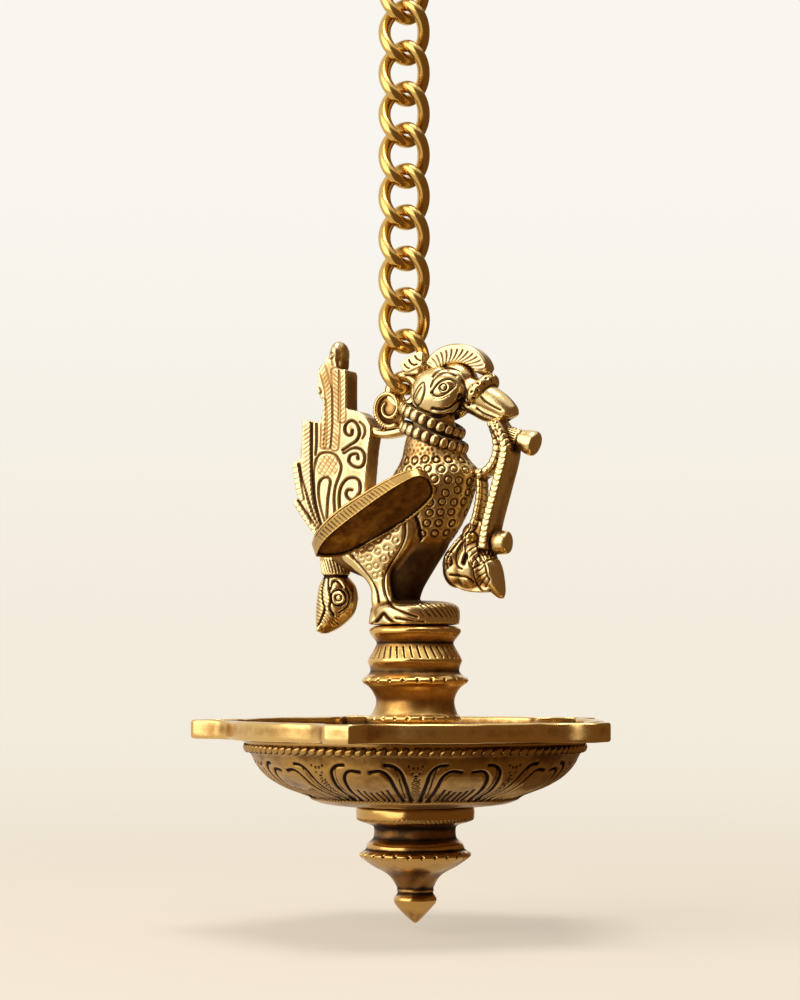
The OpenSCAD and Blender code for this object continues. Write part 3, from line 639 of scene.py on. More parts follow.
finial = chased("turned_finial", finial_profile, 0.32, 420, finial_cuts, lamp)
finish(finial, finial_brass, "lamp", "cast_brass", "finial")

# ---- Tie stud and washer
# Inside the lamp: a threaded brass stud that clamps stem, dish and finial, and a thick leather ring that keeps the
# oil in the dish. Both show only when the lamp is taken apart, so they keep their plain turned and cut shapes.

stud_brass = brass("stud_brass", (0.50, 0.37, 0.16), (0.30, 0.18, 0.06), (0.03, 0.015, 0.005), gloss=0.32)
washer_leather = bpy.data.materials.new("washer_leather")
flow = blank(washer_leather)
grain = flow.node("ShaderNodeTexNoise", inputs={
    "Vector": flow.node("ShaderNodeTexCoord", out="Object"), "Scale": 900.0, "Detail": 4.0})
hide = flow.node("ShaderNodeBsdfPrincipled", inputs={
    "Base Color": grain.ease(0.3, 0.7).mix((0.18, 0.10, 0.05), (0.27, 0.16, 0.085)),
    "Roughness": 0.62 + 0.2 * grain,
    "Normal": flow.node("ShaderNodeBump", inputs={"Strength": 0.3, "Distance": 0.0003, "Height": grain})})
flow.node("ShaderNodeOutputMaterial", inputs={"Surface": hide})
for node, material in (("tie_stud", stud_brass), ("seal_washer", washer_leather)):
    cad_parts[node].data.materials.clear()
    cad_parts[node].data.materials.append(material)

# ---- Bird
# The bird that carries the lamp, lost-wax cast in one with its footplate: ring-punched breast and thighs, two
# beaded necklaces, an engraved eye and a collared beak. The marks are drawn as they show from the front quarter.

bird_brass = brass("bird_brass", (0.75, 0.56, 0.26), (0.34, 0.17, 0.045), (0.035, 0.012, 0.003), gloss=0.28,
                   pits=0.5, dents=0.8, black=0.27)
quarter, view_far, view_level = math.radians(25), 850.0, 17.7


def lofted(rows, steps=8, count=72, side=0.0, square=1.0):
    """Form through level sections: height, middle, half length, half width."""
    c, s = section(count, square)
    rows = flowing(rows, steps)
    return skin(np.array([np.stack([x + l * c, side + w * s, np.full(count, z)], 1) for z, x, l, w in rows]))


def ball(centre, radii, count=40):
    """Egg-shaped form."""
    c, s = section(count, 1.0)
    rings = [np.stack(np.broadcast_arrays(c * math.cos(k), s * math.cos(k), math.sin(k)), 1)
             for k in np.linspace(-math.pi / 2, math.pi / 2, count // 2 + 1)]
    return skin(np.array(rings) * radii + centre)


def as_seen(points, normals):
    """Both sides of the bird laid on the near one: flat places from the front quarter, and how far they face it."""
    side = np.where(points[:, 1] > 0, -1.0, 1.0)
    across = points[:, 0] * math.cos(quarter) + side * points[:, 1] * math.sin(quarter)
    nearer = points[:, 0] * math.sin(quarter) - side * points[:, 1] * math.cos(quarter)
    grow = view_far / (view_far - nearer)
    flat = np.stack([across * grow, view_level + (points[:, 2] - view_level) * grow], 1)
    facing = normals[:, 0] * math.sin(quarter) - side * normals[:, 1] * math.cos(quarter)
    return flat, facing


def engraved(piece, cuts, tarnish_and_shade=lambda p, n: 0.0):
    """Cuts marks into a cast piece: cuts gives the depth at each point, and the last function how far it is browned,
    darkened with painted shade or lightened.
    """
    points, _, normals = mesh_arrays(piece.data)
    depth = cuts(points - lamp, normals)
    set_points(piece.data, points - normals * depth[:, None])
    settle_grime_and_shade(piece, np.maximum(depth, 0), tarnish_and_shade(points - lamp, normals))


def nearest(points, centres):
    """Distance of each point from the nearest of some centres."""
    gap = np.full(len(points), 1e9)
    for c in centres:
        gap = np.minimum(gap, ((points - c) ** 2).sum(1))
    return np.sqrt(gap)


def lines_cut(flat, lines):
    """Depth of engraved lines, each given as its points, width and depth."""
    return sum(groove(gap_to(flat, flowing(line))[0], width, deep) for line, width, deep in lines)


def ringed(gap, radius, deep):
    """Depth of a round punch mark, with a bright boss in its middle."""
    return groove(gap - radius, 0.32, deep)


def rise(v, low, width):
    """0 up to low, then an even rise to 1 over a width."""
    return np.clip((v - low) / width, 0, 1)


body_rows = [(46.5, -10, 6, 5), (51, -12, 15, 8.6), (56, -11.4, 21, 10.6), (62, -7.2, 22.2, 12), (70, 0.4, 18.8, 13),
             (78, 6.3, 15.5, 12), (82, 8, 14.8, 11.2), (86.4, 7.4, 11.6, 9.9), (91, 6.7, 9.8, 9), (95, 6.6, 8.6, 7.8),
             (99, 7, 6.9, 6.4), (104, 8, 6.4, 6.2)]
leg_rows = [(31.4, -3.4, 9.2, 5.4), (34.5, -4.0, 8.2, 5.0), (37, -5.2, 6.2, 4.6), (40, -7.6, 4.2, 3.9),
            (43, -8.2, 3.7, 3.6), (46.5, -9.4, 4.6, 3.9), (50, -11.2, 7.2, 4.6), (54, -11.4, 11.2, 5.2),
            (60, -8.2, 12.2, 5.4), (65, -4.8, 10.2, 5.6), (68.6, -3.6, 7.6, 5.2)]
foot = turned(softened([(0, 31.25), (14.5, 31.25), (14.9, 31.9), (15, 35.6), (14.7, 37), (13.8, 38), (12, 38.8),
                        (8, 39.4), (0, 39.4)], 2), 120)
belly_rows = [(38.6, -4.6, 5.4, 6), (43, -4.6, 6.8, 6.8), (47, -4.6, 9.2, 7.8), (52, -4.6, 12.6, 8.8),
              (57, -4, 15.4, 9.6), (63, -2.6, 16.4, 9.6)]
leg_side = 7.4
forms = [lofted(body_rows), lofted(belly_rows), foot]
forms += [lofted(leg_rows, side=side * leg_side, square=0.6) for side in (-1, 1)]
bird_body = cast("bird_body_brass", forms, 0.36, 5, lamp)


def punch_rows(rows, heights, arc, shift, front):
    """Centres of punch marks in level rows on a lofted form, every arc millimetres, forward of a line."""
    rows = flowing(rows, 8)
    marks = []
    jitter = np.random.default_rng(11)
    for k, z in enumerate(heights):
        x, l, w = (np.interp(z, rows[:, 0], rows[:, i]) for i in (1, 2, 3))
        t = np.linspace(0, 2 * np.pi, 721)
        run = np.concatenate([[0], np.cumsum(np.hypot(np.diff(l * np.cos(t)), np.diff(w * np.sin(t))))])
        for at in np.arange((k % 2) * arc / 2 + shift, run[-1] - 0.6 * arc, arc):
            a = np.interp(at, run, t)
            mark = np.array([x + l * math.cos(a), w * math.sin(a), z]) + jitter.normal(0, 0.28, 3)
            if mark[0] > front(z):
                marks.append(mark)
    return np.array(marks)


thigh_rings = np.array([
    (-6.6, 63.4), (-9.2, 61), (-12.4, 60), (-6.4, 59.6), (-9.4, 57), (-12.6, 55.8), (-15, 57.2), (-18, 57),
    (-7.6, 55.2), (-10.4, 53.4), (-13, 51), (-15.6, 53.6), (-19.8, 55.2), (-17.8, 53), (-15.4, 50.4), (-11.4, 48.2),
    (-13.4, 47.6)])
groin_line = ([(-1, 69), (0.7, 66), (1.6, 62.6), (2, 59.6)], 0.6, 0.7)
leg_lines = [
    ([(-3.6, 66), (-3.3, 62), (-4, 58.5), (-6.4, 54), (-9.4, 49), (-10.2, 45), (-9.6, 41.5), (-8, 38.2), (-5, 36),
      (0.6, 34)], 0.45, 0.52),
    ([(-22.4, 55.8), (-18, 50.8), (-14.8, 46.6), (-12.7, 42.6), (-12.1, 39)], 0.41, 0.45)]
foot_lines = [
    ([(-14.6, 31.2), (-12.6, 33), (-10.8, 35.1), (-9.6, 34), (-7.6, 32.2), (-5.4, 31)], 0.55, 0.8),
    ([(-6.6, 33.6), (-4, 33.2), (0, 32.6), (3, 32.4)], 0.4, 0.5)]


def body_cuts(p, n):
    flat, facing = as_seen(p, n)
    seen = rise(facing, 0, 0.25)
    breast = punch_rows(body_rows, np.arange(61, 88, 3.5), 4.2, 0.8, lambda z: 4.5 if z < 70 else -1)
    gap = nearest(p, breast)
    cut = ringed(gap, 1.25, 0.4)
    pits = punch_rows(body_rows, np.arange(84.5, 95, 1.5), 1.7, 0.2, lambda z: -30)
    cut += groove(nearest(p, pits), 0.45, 0.34)
    stipple = punch_rows(body_rows, np.arange(62.8, 86, 3.5), 1.9, 1.5, lambda z: 5 if z < 70 else 0)
    cut += groove(nearest(p, stipple), 0.4, 0.2) * (gap > 1.8)
    back = punch_rows(body_rows, np.arange(58, 86, 2.6), 3.2, 0.5, lambda z: -60)
    back = back[back[:, 0] < -6 + 0.45 * (back[:, 2] - 70)]
    scale = nearest(p + [0.9, 0, -0.7], back)
    cut += ringed(scale, 1.3, 0.25) * (p[:, 0] < -5 + 0.45 * (p[:, 2] - 70)) * (p[:, 2] > 57)
    side = np.abs(p[:, 1])
    on_leg = (side > 10.4) & (p[:, 2] < 67) & (flat[:, 0] < 0.5)
    cut = np.where(on_leg, 0, cut)
    leg = seen * (side > 8.4) * (p[:, 2] < 68)
    cut += leg * lines_cut(flat, leg_lines)
    cut += leg * ringed(nearest(flat, thigh_rings), 1.0, 0.25)
    cut += seen * (side > 8) * lines_cut(flat, [groin_line])
    cut += seen * between(p[:, 2], 30.5, 39, 0.4) * lines_cut(flat, foot_lines)
    a = np.arctan2(p[:, 1], p[:, 0])
    lip = between(p[:, 2], 33.6, 38.2) * (np.hypot(p[:, 0], p[:, 1]) > 12.6) * (flat[:, 0] > 1.5)
    return cut + 0.45 * lip * stroke(a, 44, 0.05, 0.06 * (p[:, 2] - 35))


# Painted shade: the belly under the body darkest, near black; the breast darker lower down and on the side that faces
# away from the key light; the neck darker. The foot is browned and the legs made lighter.
def body_tarnish_and_shade(p, n):
    front = np.clip(n[:, 0] + 0.1, 0, 0.9)
    inner = np.clip((10 - np.abs(p[:, 1])) / 2, 0, 1)
    belly = between(p[:, 2], 37, 80, 3) * np.clip((66 - p[:, 2]) / 12, 0, 1) * inner
    neck, foot = between(p[:, 2], 81, 100, 5), between(p[:, 2], 30, 39.6, 1)
    breast = between(p[:, 2], 58, 84, 4) * (p[:, 0] > -4) * (0.25 * front + 0.01 * (84 - p[:, 2]))
    leg = between(p[:, 2], 39, 66, 3) * (1 - inner) * (p[:, 0] < 2)
    return np.maximum(breast + 0.75 * neck + 0.6 * foot, belly * (1.6 + 0.9 * front)) - 0.5 * leg


engraved(bird_body, body_cuts, body_tarnish_and_shade)
finish(bird_body, bird_brass, "lamp", "cast_brass", "bird_body")

beak_line = flowing([(17, 109.6), (23, 107.4), (27.4, 105.2), (31.4, 102.8), (34.2, 100.4), (35, 99)], 8)
beak_share = np.linspace(0, 1, len(beak_line))
beak_w = np.interp(beak_share, [0, 0.3, 0.55, 0.8, 0.93, 1], [11, 10, 8.8, 7, 5, 2.4])
beak_t = np.interp(beak_share, [0, 0.3, 0.55, 0.8, 0.93, 1], [12, 10.6, 9.2, 7.6, 6, 3.6])
low_beak = flowing([(18, 105.4), (22.6, 103), (26, 100.9), (30, 99.5), (34, 98.7)], 8)
low_share = np.linspace(0, 1, len(low_beak))
low_w = np.interp(low_share, [0, 0.5, 0.85, 1], [6.4, 5.8, 4, 2])
low_t = np.interp(low_share, [0, 0.5, 0.85, 1], [9.4, 8.4, 6.6, 4.4])
collar_at, collar_r, collar_lean = np.array([24.2, 0, 108.2]), 5.3, 43
collar_points, collar_faces = swept(hoop(collar_r, 80), 4.0, 4.2, closed=True)
collar_points = turn_about(collar_points, (0, 0, 1), 90)
collar_points = turn_about(collar_points, (0, 1, 0), collar_lean) + collar_at
bird_head = cast("bird_head_brass", [
    ball((11, 0, 109.2), (9.4, 8.2, 8.4)), ball((15.4, 0, 112), (7.2, 6.6, 6.4)),
    *(ball((10.3, cheek, 107.9), (9.2, 4.6, 8.6)) for cheek in (-5.4, 5.4)),
    lofted([(94, 6.8, 7.6, 6.8), (99, 7.2, 6.8, 6.3), (105, 8.6, 7, 6.6)]), swept(beak_line, beak_w, beak_t),
    swept(low_beak, low_w, low_t), (collar_points, collar_faces)], 0.24, 5, lamp)
face_lines = [
    ([(5.5, 109), (7, 111.2), (9, 112.9), (11.5, 113.4), (13, 112.8), (13.7, 111.9)], 0.32, 0.38),
    ([(5.5, 109), (6.6, 107.9), (8.6, 107.9), (10.8, 109), (13.4, 111.2)], 0.45, 0.45),
    ([(6.4, 106.9), (8.8, 106.9), (11.2, 108)], 0.2, 0.17),
    ([(5.2, 110.8), (6.5, 113.5), (9.3, 115.4), (11.6, 115.6), (13.8, 114.6)], 0.36, 0.32),
    ([(5.8, 114.2), (7.8, 116.5), (10.8, 117.5), (13, 117.3), (14.8, 116.4)], 0.38, 0.41),
    ([(5.8, 103.5), (9, 103), (12, 103.9), (14, 105.8), (14.9, 108.2)], 0.56, 0.71),
    ([(-1.3, 106), (-0.4, 108.8), (1, 111.2), (2.7, 112.4), (3.1, 110), (2.6, 107.6), (1.6, 105.3), (0.1, 104.3),
      (-1.3, 106)], 0.32, 0.38),
    ([(-0.3, 107), (0.7, 109), (1.9, 110.8)], 0.31, 0.38),
    ([(22.2, 107.4), (23.6, 105.8), (26, 104.2), (28.4, 103)], 0.32, 0.45),
    ([(20.8, 103.5), (23.2, 101.8), (26.4, 100.4)], 0.41, 0.52),
    ([(24.4, 98.9), (28, 99.2), (31, 99.6), (33.4, 100.4)], 0.32, 0.38)]


def head_cuts(p, n):
    flat, facing = as_seen(p, n)
    seen = rise(facing, 0.05, 0.25)
    cut = seen * lines_cut(flat, face_lines)
    pupil = np.hypot(flat[:, 0] - 9.4, flat[:, 1] - 110.8)
    cut += seen * ringed(pupil, 1.15, 0.45)
    face = np.hypot((flat[:, 0] - 7.6) / 8.6, (flat[:, 1] - 109.4) / 8.6)
    cut += seen * groove(face - 1.06, 0.08, 0.35) * (flat[:, 0] > -1)
    ring = p - collar_at
    lean = math.radians(collar_lean)
    forward = ring[:, 0] * math.cos(lean) - ring[:, 2] * math.sin(lean)
    upward = ring[:, 0] * math.sin(lean) + ring[:, 2] * math.cos(lean)
    a = np.arctan2(upward, ring[:, 1])
    on_collar = (np.abs(forward) < 2.1) & (np.hypot(upward, ring[:, 1]) > collar_r)
    dots = np.clip(np.cos(13 * a + 1.5) * np.cos(2.2 * forward + 0.4 * np.sin(5 * a)) - 0.2, 0, 1)
    return cut + on_collar * 0.6 * dots


# The sides of the head, where the face lies, are made lighter: partly rubbed bright, partly a painted highlight.
engraved(bird_head, head_cuts, lambda p, n: -0.6 * np.abs(n[:, 1]))
finish(bird_head, bird_brass, "lamp", "cast_brass")

# ---- Necklaces
# Two raised bands round the neck, lower in front, each with a row of flat beads.
# They are cast with the bird; the gaps between the beads are chased afterwards.

necklaces = (("upper", 6.4, 99.2, 11.9, 26, 21), ("lower", 6.8, 93.7, 12.3, 22, 22))
oval, band_thick, band_tall, band_in, bead_in = 0.86, 0.9, 2.1, 1.0, 0.75
band_section = np.stack(section(24, 1.0), 1) * (band_thick, band_tall)
for name, x, z, long, tilt, count in necklaces:
    rings = []
    for c, s in hoop(1.0, 160):
        out = np.array([c * oval, s, 0])
        out /= np.linalg.norm(out)
        base = np.array([long * c, long * oval * s, 0]) - band_in * out
        rings.append([base + out * wide + (0, 0, tall) for wide, tall in band_section])
    points, faces = skin(np.array(rings), True)
    band = piece_from(f"necklace_{name}_band", turn_about(points, (0, 1, 0), tilt) + (x, 0, z), faces, lamp)
    # The band is darkened all over with painted shade, the shade between and under its beads.
    settle_grime_and_shade(band, 1.2, 1.0)
    finish(band, bird_brass, "lamp", "cast_brass")
    bead_ring(f"necklace_{name}_beads", bird_brass, count, long - bead_in, z, 1.74, 1.1, 2.0, at=x, oval=oval,
              tilt=tilt)

# ---- Crest
# The arched crest over the head: a thick band whose sides carry a fringe of curved strokes.
# It is cast by itself and let into the top of the head.

relief_brass = brass("relief_brass", (0.66, 0.50, 0.26), (0.36, 0.20, 0.065), (0.05, 0.02, 0.006), gloss=0.3,
                     pits=0.5, dents=0.7, black=0.48)
crest_at, crest_reach, fringe_pitch = np.array([15.9, 113.4]), (9.7, 7.7), 10.4
turn = np.radians(np.linspace(0, 160, 90))
crest_path = crest_at + np.stack([np.cos(turn), np.sin(turn)], 1) * crest_reach
taper = np.clip(np.minimum(np.arange(90) / 8, np.arange(90)[::-1] / 5), 0.03, 1) ** 0.4
crest_w = (4.6 + 2.0 * np.sin(turn)) * taper
crest = cast("crest_brass", [swept(crest_path, crest_w, 7.2 * taper, 0.3)], 0.22, 4, lamp)


def crest_cuts(p, n):
    d = (p[:, [0, 2]] - crest_at) / crest_reach
    r, a = np.hypot(*d.T), np.degrees(np.arctan2(d[:, 1], d[:, 0]))
    share = (r - 0.7) / 0.6
    off = off_mark(a + 26 * share - 18 * share**2, fringe_pitch) * 0.157
    strokes = groove(off, 0.22, 0.3) * between(share, -0.1, 0.86, 0.14) * between(a, 8, 150, 3)
    return rise(np.abs(n[:, 1]), 0.2, 0.3) * strokes


engraved(crest, crest_cuts, lambda p, n: -0.2)
finish(crest, relief_brass, "lamp", "cast_brass", "crest")

# ---- Hanging eye
# The ring behind the head that the lowest link passes through, with a short engraved tongue beside it.
# Both are cast thick, because they carry the whole lamp.


def slab(edge, half, y=0.0):
    """Plate with this edge, upright along the bird's middle plane."""
    edge = np.asarray(edge, float)
    near = np.stack([edge[:, 0], np.full(len(edge), -half), edge[:, 1]], 1)
    points, faces = skin(np.array([near, near * (1, 0, 1), near * (1, -1, 1)]))
    return points + (0, y, 0), faces


eye_at = np.array([-4.0, 109.6])
eye_ring = swept(eye_at + hoop(5.0), 4.0, 4.0, closed=True)
tongue = slab([(-3.4, 118), (-2.6, 119.3), (4.0, 122.3), (5.2, 121.4), (4.8, 117.3), (-0.6, 115.4), (-2, 115.8)],
              1.5, -3.5)
tongue_foot = slab([(-2.6, 114.7), (3.2, 114.7), (3.4, 117.4), (-2.6, 117.4)], 1.8, -2.7)
hanging_eye = cast("hanging_eye_brass", [eye_ring, tongue, tongue_foot], 0.22, 3, lamp)


def eye_cuts(p, n):
    strokes = [([(0.1, 119.4), (0.8, 118.2), (1.9, 117.6), (3, 117.8)], 0.26, 0.4),
               ([(2.3, 120.6), (3.2, 119.4), (4.5, 118.8)], 0.26, 0.4),
               ([(-1.6, 118), (-0.8, 117), (0.2, 116.5)], 0.24, 0.3)]
    return lines_cut(p[:, [0, 2]], strokes) * (n[:, 1] < -0.3)


engraved(hanging_eye, eye_cuts)
finish(hanging_eye, bird_brass, "lamp", "cast_brass", "hanging_eye")

# ---- Nape scroll
# The curl between the neck and the tail, with a rolled edge round an engraved eye.
# Its foot is a plain strip that ties the neck to the tail.

scroll_at, scroll_stretch = np.array([-8.8, 104.0]), (0.94, 1.08)
t = np.linspace(0, 1, 90)
spiral_turn, spiral_r = np.radians(-60 - 540 * t), 6.1 - 4.3 * t
scroll_line = scroll_at + np.stack([spiral_r * np.cos(spiral_turn), spiral_r * np.sin(spiral_turn)], 1) * scroll_stretch
scroll_foot = flowing([(-17, 97), (-11, 95.4), (-5, 96), (-1, 97)], 8)
nape_scroll = cast("nape_scroll_brass", [
    swept(scroll_line, 2.7 - 1.1 * t, 6.4 - 0.6 * t), swept(scroll_foot, 3.2, 6.0, 0.7),
    ball((scroll_at[0], 0, scroll_at[1]), (6.0, 2.0, 6.6))], 0.22, 3, lamp)


def scroll_cuts(p, n):
    flat = p[:, [0, 2]]
    d = (flat - scroll_at) / scroll_stretch
    r, a = np.hypot(*d.T), np.arctan2(d[:, 1], d[:, 0])
    face = rise(np.abs(n[:, 1]), 0.2, 0.3)
    rim = 0.35 * stroke(a, 36, 0.06, 0.1 * r) * between(r, 5.0, 7.4) * (p[:, 0] < -9)
    return face * (rim + groove(np.abs(gap_to(flat, scroll_foot)[0] - 1.05), 0.25, 0.25))


engraved(nape_scroll, scroll_cuts)
finish(nape_scroll, bird_brass, "lamp", "cast_brass", "nape_scroll")

# ---- Wings
# Two leaf-shaped wings set into the sides: plain underneath, where painted shade darkens them, feathered on top, with a
# hatched rim that thins towards the breast. Each is cast flat, filed along the rim and pinned into a slot in the body.

# The wings' brass is darker than the bird's: painted shade, most of all for the undersides.
wing_shaded_brass = brass("wing_shaded_brass", (0.52, 0.31, 0.09), (0.20, 0.09, 0.02), (0.022, 0.011, 0.004), gloss=0.3, dents=0.3)
wing_l, wing_w, wing_t, wing_under, hatch_pitch, veins = 46.0, 17.0, 7.6, -3.0, 1.4, 5
wing_at, wing_turns = (-25.8, -24.6, 56.0), (((1, 0, 0), -38), ((0, 1, 0), -28.5), ((0, 0, 1), 14))
wing_rim, wing_hem = (flowing(line) * (wing_l, wing_w) for line in (
    [(0, 0.05), (0.08, -0.15), (0.21, -0.3), (0.5, -0.45), (0.78, -0.53), (0.94, -0.48), (1, -0.24)],
    [(1, -0.24), (0.95, 0.2), (0.74, 0.42), (0.5, 0.47), (0.22, 0.45), (0.08, 0.28), (0, 0.05)]))
wing_edge = spaced(np.vstack([wing_rim, wing_hem[1:-1]]), 0.5)


def wing_thins(x):
    """Share of the full thickness that the wing keeps at a distance from its tip: it thins towards the breast."""
    return np.interp(x, [0, 0.3 * wing_l, 0.75 * wing_l, wing_l], [0.85, 1, 0.72, 0.5])


wing_z = wing_t * wing_thins(wing_edge[:, 0])
leaf = skin(np.array([np.column_stack([wing_edge, share * wing_z + wing_under]) for share in (0, 0.5, 1)]))


def wing_cuts(p, n):
    flat = p[:, :2]
    rim_gap, run = gap_to(flat, wing_rim)
    hem_gap = gap_to(flat, wing_hem)[0]
    edge_gap = np.minimum(rim_gap, hem_gap)
    on_rim = np.clip((0.7 - np.abs(n[:, 2])) / 0.2, 0, 1) * (rim_gap < 2)
    level = (p[:, 2] - wing_under) / wing_thins(p[:, 0])
    hatch = groove(off_mark(run + 0.35 * level, hatch_pitch), 0.22, 0.22)
    cut = on_rim * hatch * between(run, 4, 38, 3) * between(level, 0.3, 5.8, 0.4)
    cut += on_rim * groove(level - 6.4, 0.28, 0.35) * between(run, 3, 46, 1)
    top = rise(n[:, 2], 0.4, 0.3) * (edge_gap > 1.0)
    share = rim_gap / np.maximum(rim_gap + hem_gap, 0.5) * veins
    vein = np.abs(share - np.round(share)) / veins * (rim_gap + hem_gap)
    barb = (p[:, 0] + 4.2 * np.abs(share % 1 - 0.5)) % 2.2 - 1.1
    cut += top * (groove(vein, 0.32, 0.35) + groove(barb, 0.25, 0.16))
    return cut + rise(-n[:, 2], 0.5, 0.3) * 1.1 * rise(hem_gap, 0.1, 0.4) * rise(rim_gap, 0.2, 0.4)


for name, flip in (("wing_right", 1), ("wing_left", -1)):
    wing = cast(name + "_brass", [leaf], 0.28, 2)
    points, _, normals = mesh_arrays(wing.data)
    depth = wing_cuts(points, normals)
    points -= normals * depth[:, None]
    for axis, degrees in wing_turns:
        points = turn_about(points, axis, degrees)
    points += wing_at
    if flip < 0:
        points[:, 1] *= -1
        wing.data.flip_normals()
    set_points(wing.data, points + lamp)
    # The hollowed underside takes a flat extra depth: painted shade that darkens it.
    settle_grime_and_shade(wing, np.where(depth < 0.7, np.maximum(depth, 0), 0.22))
    finish(wing, wing_shaded_brass, "lamp", "cast_brass", name)

# ---- Tail fan
# The upright tail: stepped feathers, roped stems, a hatched teardrop and three curls in low relief on both faces.
# It is cast as one thick plate and let into the rump.

tail_edge = [(-26, 60.3), (-31.1, 60.1), (-35.5, 61.8), (-39.8, 67.3), (-43.5, 72.5), (-43.5, 73.5), (-41.9, 74.4),
             (-42.9, 79), (-44, 86), (-43.7, 87), (-40.9, 87.7), (-40.4, 95.2), (-40.1, 100.5), (-39.5, 101.1),
             (-33.4, 100), (-32.5, 103), (-32.3, 107), (-34.2, 109.9), (-34.6, 111.4), (-33.9, 112.5), (-34.5, 115.8),
             (-33.8, 118.5), (-31.8, 120.1), (-31, 122), (-28, 122), (-27.2, 119.9), (-26.9, 117.9), (-23.9, 117.5),
             (-23.4, 116.3), (-23.4, 104.2), (-18.7, 103), (-16.1, 101.1), (-14.4, 98.2), (-14.4, 94.8), (-15.2, 90.2),
             (-15.9, 83.1), (-16.5, 76.2), (-13.8, 68.1), (-17.9, 60.2)]
tail_knob = [(-30.2, 117), (-30.6, 121), (-30.2, 124.4), (-28.9, 126.7), (-27.4, 126.9), (-26.4, 125.4),
             (-25.9, 122.5), (-26, 119), (-27, 117)]
tail_half = 4.4
tail_fan = cast("tail_fan_brass", [
    slab(spaced(tail_edge, 0.6), tail_half), slab(spaced(flowing(tail_knob), 0.5), 3.2),
    ball((-28.1, 0, 123.3), (3, 4.9, 4.4))], 0.29, 4, lamp)
tail_strips = [
    ([(-36.3, 99.4), (-36.3, 88), (-36.1, 79.3), (-34.5, 71.3), (-32.2, 63.3)], 1.55, 1.5, 0.7),
    ([(-40.1, 85.4), (-39.4, 79.3), (-38.3, 73.6)], 1.1, 1.8, 0.1),
    ([(-40.1, 72), (-37.2, 67.3), (-33.6, 61.4)], 1.1, 1.8, 0.1),
    ([(-31.2, 118), (-29.8, 113.3), (-28.9, 109.3), (-28.7, 104), (-28.7, 98), (-29.3, 91)], 0.95, 1.4, 0.8),
    ([(-26.6, 116), (-26.3, 109), (-26.3, 104), (-26.3, 98), (-26.8, 90.6)], 1.1, 1.5, -0.8),
    ([(-24.2, 116), (-24.2, 104), (-24.3, 100)], 1.0, 1.6, 0.9),
    ([(-30.6, 106), (-30.3, 100), (-30.6, 91)], 0.7, 1.6, 0.5)]
tail_lines = [
    ([(-34.5, 99), (-34.5, 88), (-34.3, 79.3), (-33.5, 71.3), (-31.1, 62.7)], 0.42, 0.59),
    ([(-32.8, 98.6), (-32.8, 92), (-33.2, 88)], 0.38, 0.5),
    ([(-38.8, 85), (-37.7, 80), (-36.3, 75.3), (-34.3, 69.3), (-31.6, 62.6)], 0.38, 0.53),
    ([(-39, 72.9), (-35.7, 68), (-31.8, 62.4)], 0.38, 0.5),
    ([(-31.1, 64), (-33.1, 71.3), (-33.7, 78), (-33.7, 83.3), (-32.3, 87.7), (-29.7, 88.9), (-26.7, 88.1),
      (-24.9, 85.3), (-24.6, 83.3), (-25.3, 80.7), (-26.5, 77.3), (-26.9, 73.3), (-26.5, 67)], 0.38, 0.5),
    ([(-29.8, 65), (-31.1, 68.7), (-31.9, 72.7), (-32.1, 76), (-31.8, 78.7), (-30.7, 80.2), (-29.3, 80.5),
      (-28.2, 79.3), (-28.5, 76.7), (-29, 73.3), (-29.2, 69.3), (-29.5, 65.3)], 0.38, 0.5),
    ([(-24, 89.7), (-21.7, 91.3), (-19.4, 93), (-18.5, 95.3), (-19.2, 98), (-21, 99.5), (-22.7, 98.7),
      (-23.4, 96.7), (-22.7, 94.8), (-21.2, 94.8), (-20.9, 96.3)], 0.42, 0.62),
    ([(-23.7, 88.7), (-21, 90.3), (-18.4, 90), (-16.8, 88), (-17, 85.3), (-18.4, 83.9), (-20.7, 84.3),
      (-22, 86), (-21.4, 88), (-19.4, 88.3), (-19, 86.7)], 0.42, 0.62),
    ([(-25, 68), (-25.2, 74.7), (-24.3, 78), (-22.4, 80.1), (-20, 80.3), (-18.4, 78.7), (-18.4, 75.7),
      (-20, 73.3), (-21.7, 73), (-22.9, 74.7), (-22.4, 76.3), (-21, 76.3)], 0.42, 0.62),
    ([(-18.4, 99), (-16.9, 97.4), (-16.7, 95.2), (-17.6, 93.6)], 0.34, 0.43),
    ([(-32.1, 110.6), (-31.3, 109.4), (-31.8, 108.2)], 0.3, 0.37),
    ([(-28.3, 125), (-28, 121), (-27.4, 118)], 0.26, 0.25)]


def laddered(flat, line, half, pitch, lean, deep):
    """Depth of a strip of slanting strokes between two fine lines."""
    line = flowing(line)
    gap, run = gap_to(flat, line)
    side = np.sign(flat[:, 0] - np.interp(-flat[:, 1], -line[:, 1], line[:, 0]))
    strokes = groove(off_mark(run + lean * side * gap, pitch), 0.2, deep) * np.clip((half - gap) / 0.3, 0, 1)
    return strokes + groove(gap - half - 0.25, 0.24, 1.4 * deep)


def tail_cuts(p, n):
    flat = as_seen(p, n)[0]
    face = rise(np.abs(n[:, 1]), 0.3, 0.4)
    cut = lines_cut(flat, tail_lines) + sum(laddered(flat, *strip, 0.16) for strip in tail_strips)
    drop = np.hypot((flat[:, 0] + 29.2) / 3.8, (flat[:, 1] - 84.4) / 3.8) < 1
    lattice = np.min([np.abs((flat[:, 0] + slope * flat[:, 1]) % 1.7 - 0.85) for slope in (1, -0.6)], axis=0)
    cut += drop * groove(lattice, 0.2, 0.15)
    return face * (cut + ringed(np.hypot(flat[:, 0] + 28.2, flat[:, 1] - 121.4), 0.95, 0.35))


engraved(tail_fan, tail_cuts, lambda p, n: np.clip((p[:, 2] - 80) / 60, 0, 0.45))
finish(tail_fan, relief_brass, "lamp", "cast_brass", "tail_fan")

